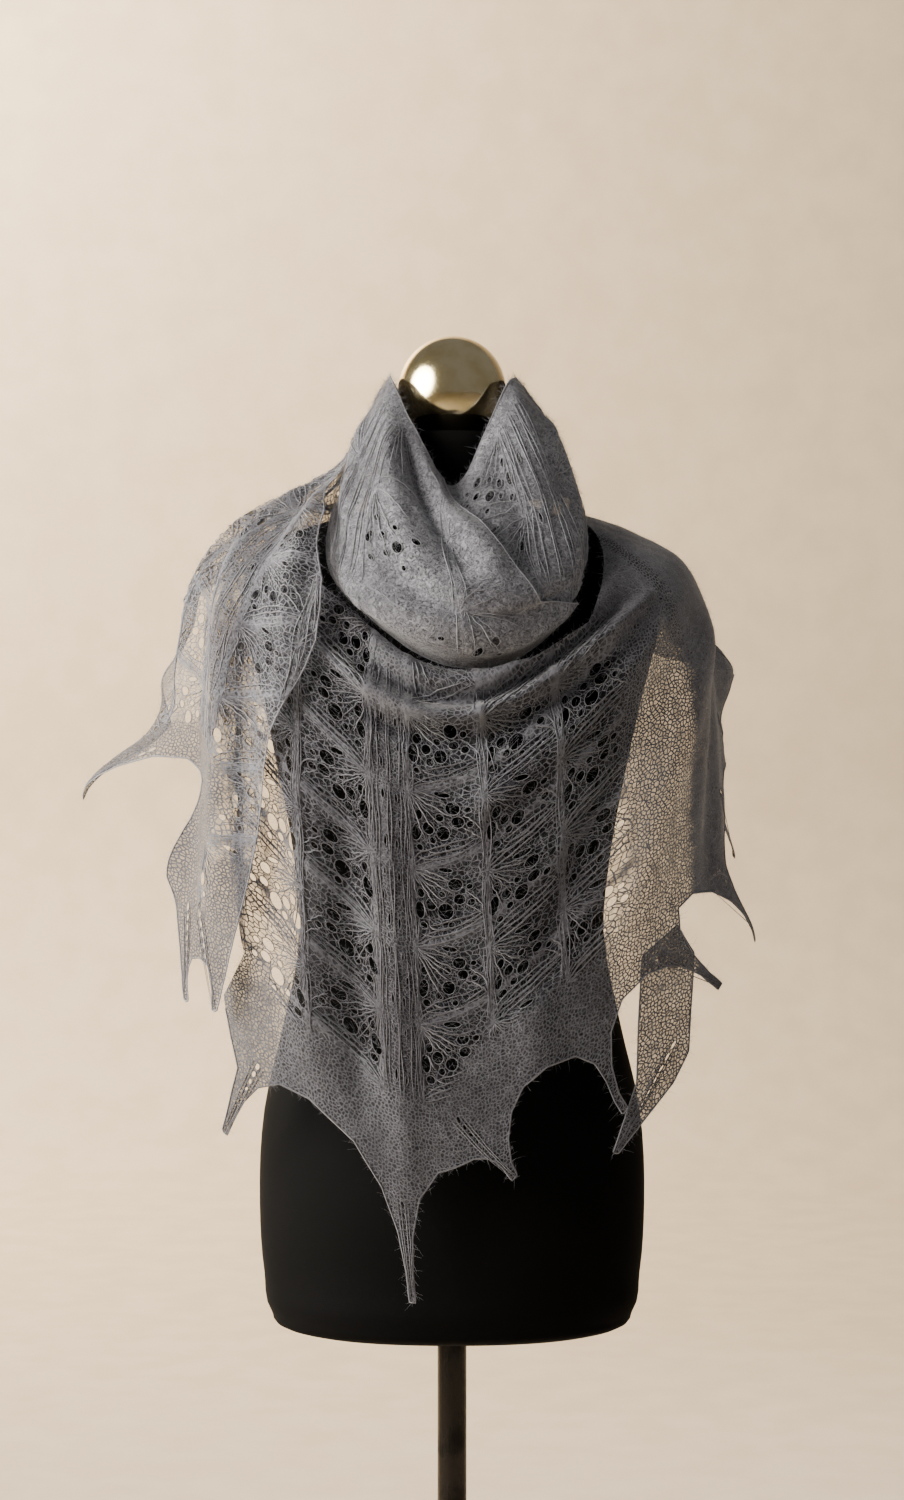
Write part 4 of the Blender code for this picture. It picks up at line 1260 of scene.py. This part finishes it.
def knit(name, rows, to_across, place, patches, lace, plain, spacing, seed, finish, hairs,
         edge=None, cord=None, most=1.0, strands=1.0, wool=None):
    """One whole stretch: net, yarn and halo."""
    outline = outline_of(rows, to_across)
    fine_outline = with_steps(outline, 3 * MM)
    edging = between(fine_outline, edge, to_across) if edge else fine_outline
    gaps = lace_gaps(outline, edging, lace, to_across, plain, patches, seed, most)
    gaps = gaps + [
        gap for gap in spike_gaps(rows, to_across, seed)
        if inside(gap, outline).all() and distance_to(gap, outline).min() > 3 * MM
    ]
    sheet = net(name + "_net", outline, edging, place, gaps, spacing, lace, to_across, plain, patches, finish)
    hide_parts(name)
    yarn = Yarn(place)
    for gap in gaps:
        yarn.lay(gap, 0.42 * MM, lift=0.25 * MM, closed=True)
    fans(yarn, outline, edging, gaps, lace, to_across, plain, seed + 1, strands)
    spikes(yarn, rows, outline, to_across, seed + 2)
    hem(yarn, between(fine_outline, cord, to_across) if cord else edging, closed=edge is None)
    laid_yarn = yarn.piece(name + "_yarn", wool or SHADED_YARN, "mohair_lace")
    hair = halo(name + "_halo", outline, place, hairs, seed + 3)
    counts = [sum(len(p.vertices) - 2 for p in piece.data.polygons) for piece in (sheet, laid_yarn, hair)]
    print(name, "gaps", len(gaps), "triangles", counts, "flat area", round(area_of(outline), 4))


def under_the_wing(flat):
    angle = np.degrees(body_angle(flat[:, 0]))
    share = np.clip((np.abs(angle - 100) - 138) / 16, 0, 1)
    return -6 * MM * share * share * (3 - 2 * share) + uneven(flat, 0.8 * MM)


def over_the_right_half(flat):
    front = np.clip((flat[:, 0] - cowl_across(-60)) / cowl_across(60), 0, 1)
    return CLOTH + LAYER_GAP + 3.4 * MM * front + uneven(flat, 0.6 * MM)


# %% Front
body_place = laid(hang(DRAPE), BODY_FOLDS, BODY_PULLS, under_the_wing, body_across)
knit(
    "front_fall", FRONT_OUTLINE, body_across, body_place, BODY_PATCHES, BODY_LACE, 60 * MM, 4.2 * MM, 11,
    SHADED_NET, 18000, edge=((-62.5, 510), (108, 262)),
)

# %% Back, wing and tail
wing_place = laid(hang(WING), WING_FOLDS, WING_PULLS, lambda flat: 0.3 * MM + uneven(flat, 0.8 * MM), body_across)
tail_place = laid(hang(DRAPE), BODY_FOLDS, BODY_PULLS, -(CLOTH + LAYER_GAP), body_across)
knit(
    "back_drape", BACK_OUTLINE, body_across, body_place, [], BACK_LACE, 45 * MM, 4.6 * MM, 23,
    SHADED_NET, 7000, edge=((132, 266), (250, 290)),
)
knit(
    "left_wing", WING_OUTLINE, body_across, wing_place, WING_PATCHES, WING_LACE, 34 * MM, 4.2 * MM, 37,
    LIT_WING_NET, 14000, edge=((-122, 190), (-54, 494)),
    cord=((-122, 190), (-58, 104)), most=0.8, strands=0.75, wool=LIT_YARN,
)
knit(
    "tail", TAIL_OUTLINE, body_across, tail_place, BODY_PATCHES, BODY_LACE, 200 * MM, 3.6 * MM, 41,
    SHADED_NET, 900,
)

# %% Cowl
COWL_LACE_LEFT = Lace((-46, 0), (-34, 180), 66, 12)
COWL_LACE_RIGHT = Lace((42, 0), (32, 180), 14, 12)
right_place = laid(wind, COWL_FOLDS, [], lambda flat: uneven(flat, 0.6 * MM), cowl_across)
LEFT_FOLDS = COWL_FOLDS + ROLLED_EDGE
left_place = laid(wind, LEFT_FOLDS, [], over_the_right_half, cowl_across)
knit(
    "cowl_right", COWL_RIGHT_OUTLINE, cowl_across, right_place, COWL_RIGHT_PATCHES, COWL_LACE_RIGHT, 14 * MM,
    3.6 * MM, 53, LIT_COWL_NET, 22000, most=0.75, strands=0.4, wool=LIT_YARN,
)
knit(
    "cowl_left", COWL_LEFT_OUTLINE, cowl_across, left_place, COWL_LEFT_PATCHES, COWL_LACE_LEFT, 14 * MM,
    3.6 * MM, 59, LIT_COWL_NET, 26000, most=0.6, strands=0.4, wool=LIT_YARN,
)

# %% [markdown]
# ## The dress form
# A smooth body in a black stretch cover, a polished ball, and a steel stand.

# %% Form
def dress_form():
    heights = np.array([ring.height for ring in FORM_RINGS], float)
    levels = np.unique(np.concatenate([np.linspace(a, b, 5) for a, b in zip(heights, heights[1:])]))
    sides = 112
    angles = np.linspace(0, 2 * math.pi, sides, endpoint=False)
    verts = []
    for level in levels:
        width = curve_through(FORM_RINGS, "height", "half_width", level)
        front = curve_through(FORM_RINGS, "height", "front", level)
        back = curve_through(FORM_RINGS, "height", "back", level)
        depth = np.where(np.cos(angles) > 0, front, back)
        reach = ring_reach(angles, width, depth) * MM * 0.996
        verts.append(np.column_stack([reach * np.sin(angles), -reach * np.cos(angles), np.full(sides, level * MM)]))
    faces = []
    for k in range(len(levels) - 1):
        for i in range(sides):
            j = (i + 1) % sides
            faces.append((k * sides + i, k * sides + j, (k + 1) * sides + j, (k + 1) * sides + i))
    faces.append(tuple(range(sides))[::-1])
    faces.append(tuple(range((len(levels) - 1) * sides, len(levels) * sides)))
    mesh = bpy.data.meshes.new("dress_form")
    mesh.from_pydata(np.concatenate(verts).tolist(), [], faces)
    mesh.shade_smooth()
    made = new_piece("dress_form", mesh, jersey())
    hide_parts("torso")
    return made


def jersey():
    made, tree, shader = new_material("black_jersey", Roughness=0.85, Specular_IOR_Level=0.2)
    spots = add(tree, "TexCoord").outputs["Object"]
    stretch = add(tree, "Mapping", {"Vector": spots, "Scale": (1, 1, 0.7)})
    loops = add(tree, "TexVoronoi", {"Vector": stretch.outputs[0], "Scale": 1 / (1.1 * MM), "Randomness": 0.6})
    soft = add(tree, "TexNoise", {"Vector": spots, "Scale": 1 / (60 * MM), "Detail": 3.0})
    colour = blend_colours(tree, ramp(tree, soft.outputs[0], 0.35, 0.65), "#030303", "#060507")
    tree.links.new(colour, shader.inputs["Base Color"])
    bump = add(tree, "Bump", {"Height": loops.outputs["Distance"], "Strength": 0.35, "Distance": 0.3 * MM})
    tree.links.new(bump.outputs[0], shader.inputs["Normal"])
    return made


form = dress_form()
print("dress form faces", len(form.data.polygons))

# %% Ball
BALL_RADIUS = 46.5 * MM
BALL_CENTRE = 1603 * MM
NECK_TOP = 1563 * MM
FIT_GAP = 0.3 * MM


def polished(name, pale, deep, roughness, brushed):
    """Polished metal with faint brushing and slight stains."""
    made, tree, shader = new_material(name, Metallic=1.0)
    spots = add(tree, "TexCoord").outputs["Object"]
    squeezed = add(tree, "Mapping", {"Vector": spots, "Scale": brushed})
    lines = add(tree, "TexNoise", {"Vector": squeezed.outputs[0], "Scale": 1 / (2 * MM), "Detail": 3.0})
    stains = add(tree, "TexNoise", {"Vector": spots, "Scale": 1 / (22 * MM), "Detail": 4.0})
    colour = blend_colours(tree, ramp(tree, stains.outputs[0], 0.35, 0.7), pale, deep)
    tree.links.new(colour, shader.inputs["Base Color"])
    gloss = ramp(tree, maths(tree, "MULTIPLY", lines.outputs[0], stains.outputs[0]), 0.1, 0.4, roughness, roughness * 1.8)
    tree.links.new(gloss, shader.inputs["Roughness"])
    bump = add(tree, "Bump", {"Height": lines.outputs[0], "Strength": 0.05, "Distance": 0.1 * MM})
    tree.links.new(bump.outputs[0], shader.inputs["Normal"])
    return made


def ball():
    low = math.asin((NECK_TOP + FIT_GAP - BALL_CENTRE) / BALL_RADIUS)
    shaped = bmesh.new()
    rings = []
    for tilt in np.linspace(low, math.pi / 2, 60)[:-1]:
        reach, height = BALL_RADIUS * math.cos(tilt), BALL_CENTRE + BALL_RADIUS * math.sin(tilt)
        ring = []
        for k in range(96):
            turn = 2 * math.pi * k / 96
            ring.append(shaped.verts.new((reach * math.sin(turn), -reach * math.cos(turn), height)))
        rings.append(ring)
    top = shaped.verts.new((0, 0, BALL_CENTRE + BALL_RADIUS))
    for lower, upper in zip(rings, rings[1:]):
        for k in range(96):
            shaped.faces.new((lower[k], lower[(k + 1) % 96], upper[(k + 1) % 96], upper[k]))
    for k in range(96):
        shaped.faces.new((rings[-1][k], rings[-1][(k + 1) % 96], top))
    shaped.faces.new(rings[0][::-1])
    mesh = bpy.data.meshes.new("ball")
    shaped.to_mesh(mesh)
    shaped.free()
    mesh.shade_smooth()
    made = new_piece("ball", mesh, polished("gold_ball", "#E9DDBE", "#D6C79F", 0.10, (1, 1, 1)))
    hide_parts("ball_finial")
    return made


print("ball faces", len(ball().data.polygons))

# %% Stand
steel = polished("polished_steel", "#4E4B49", "#3A3836", 0.2, (6, 6, 0.3))
plate = polished("polished_base", "#B4B0AB", "#98948F", 0.2, (1, 1, 1))
for node, finish in (("pole", steel), ("pole_collar", steel), ("base_plate", plate)):
    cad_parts[node].data.materials.clear()
    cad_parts[node].data.materials.append(finish)
print("stand finished")

# %% [markdown]
# ## Floor, wall and light

# %% Floor and wall in one curved sheet
# The wall is far enough away for a camera that looks at the shawl from behind
WALL_AT = 6.5
WALL_BEND = 1.2


def backdrop():
    shaped = bmesh.new()
    profile = [(-8.0, 0.0)]
    for t in np.linspace(0, math.pi / 2, 12):
        profile.append((WALL_AT + WALL_BEND * (math.sin(t) - 1), WALL_BEND * (1 - math.cos(t))))
    profile += [(WALL_AT, 8.0)]
    rows = [[shaped.verts.new((x, y, z)) for x in (-9.0, 9.0)] for y, z in profile]
    for a, b in zip(rows, rows[1:]):
        shaped.faces.new((a[0], a[1], b[1], b[0]))
    mesh = bpy.data.meshes.new("backdrop")
    shaped.to_mesh(mesh)
    shaped.free()
    mesh.shade_smooth()
    made = bpy.data.objects.new("backdrop", mesh)
    finish, tree, shader = new_material("pale_wall", Roughness=0.9)
    spots = add(tree, "TexCoord").outputs["Object"]
    plaster = add(tree, "TexNoise", {"Vector": spots, "Scale": 9.0, "Detail": 5.0})
    colour = blend_colours(tree, ramp(tree, plaster.outputs[0], 0.3, 0.7), "#E2D9CA", "#DCD2C2")
    tree.links.new(colour, shader.inputs["Base Color"])
    mesh.materials.append(finish)
    bpy.context.scene.collection.objects.link(made)


backdrop()

# %% Lights
def light(name, spot, target, size, power, colour, on_cloth=True, in_metal=True):
    lamp = bpy.data.lights.new(name, "AREA")
    lamp.shape = "DISK"
    lamp.size = size
    lamp.energy = power
    lamp.color = linear(colour)[:3]
    made = bpy.data.objects.new(name, lamp)
    made.location = spot
    made.rotation_euler = (Vector(target) - Vector(spot)).to_track_quat("-Z", "Y").to_euler()
    made.visible_diffuse = on_cloth
    made.visible_glossy = in_metal
    made.visible_camera = False
    bpy.context.scene.collection.objects.link(made)


light("window", (-2.2, -1.0, 2.05), (0, 0, 1.35), 1.7, 98, "#FFF8EE")
light("window_in_ball", (-1.6, -0.65, 1.95), (0, 0, 1.6), 1.9, 96, "#FFFBF2", on_cloth=False)
light("fill", (2.6, -1.6, 1.6), (0.1, 0, 1.25), 2.6, 13, "#F1EFEA", in_metal=False)
light("back_fill", (0.6, 2.6, 2.6), (0, 0, 1.3), 2.2, 26, "#F1EFEA", in_metal=False)
light("wall_wash", (-4.1, 3.4, 5.2), (-2.4, 6.5, 3.3), 2.4, 760, "#FFEBD0", in_metal=False)
world = bpy.data.worlds.new("studio")
bpy.context.scene.world = world
world.use_nodes = True
world.node_tree.nodes["Background"].inputs["Color"].default_value = linear("#D8D4CE")
world.node_tree.nodes["Background"].inputs["Strength"].default_value = 0.3
bpy.context.scene.view_settings.look = "AgX - Medium High Contrast"
print("lights placed")
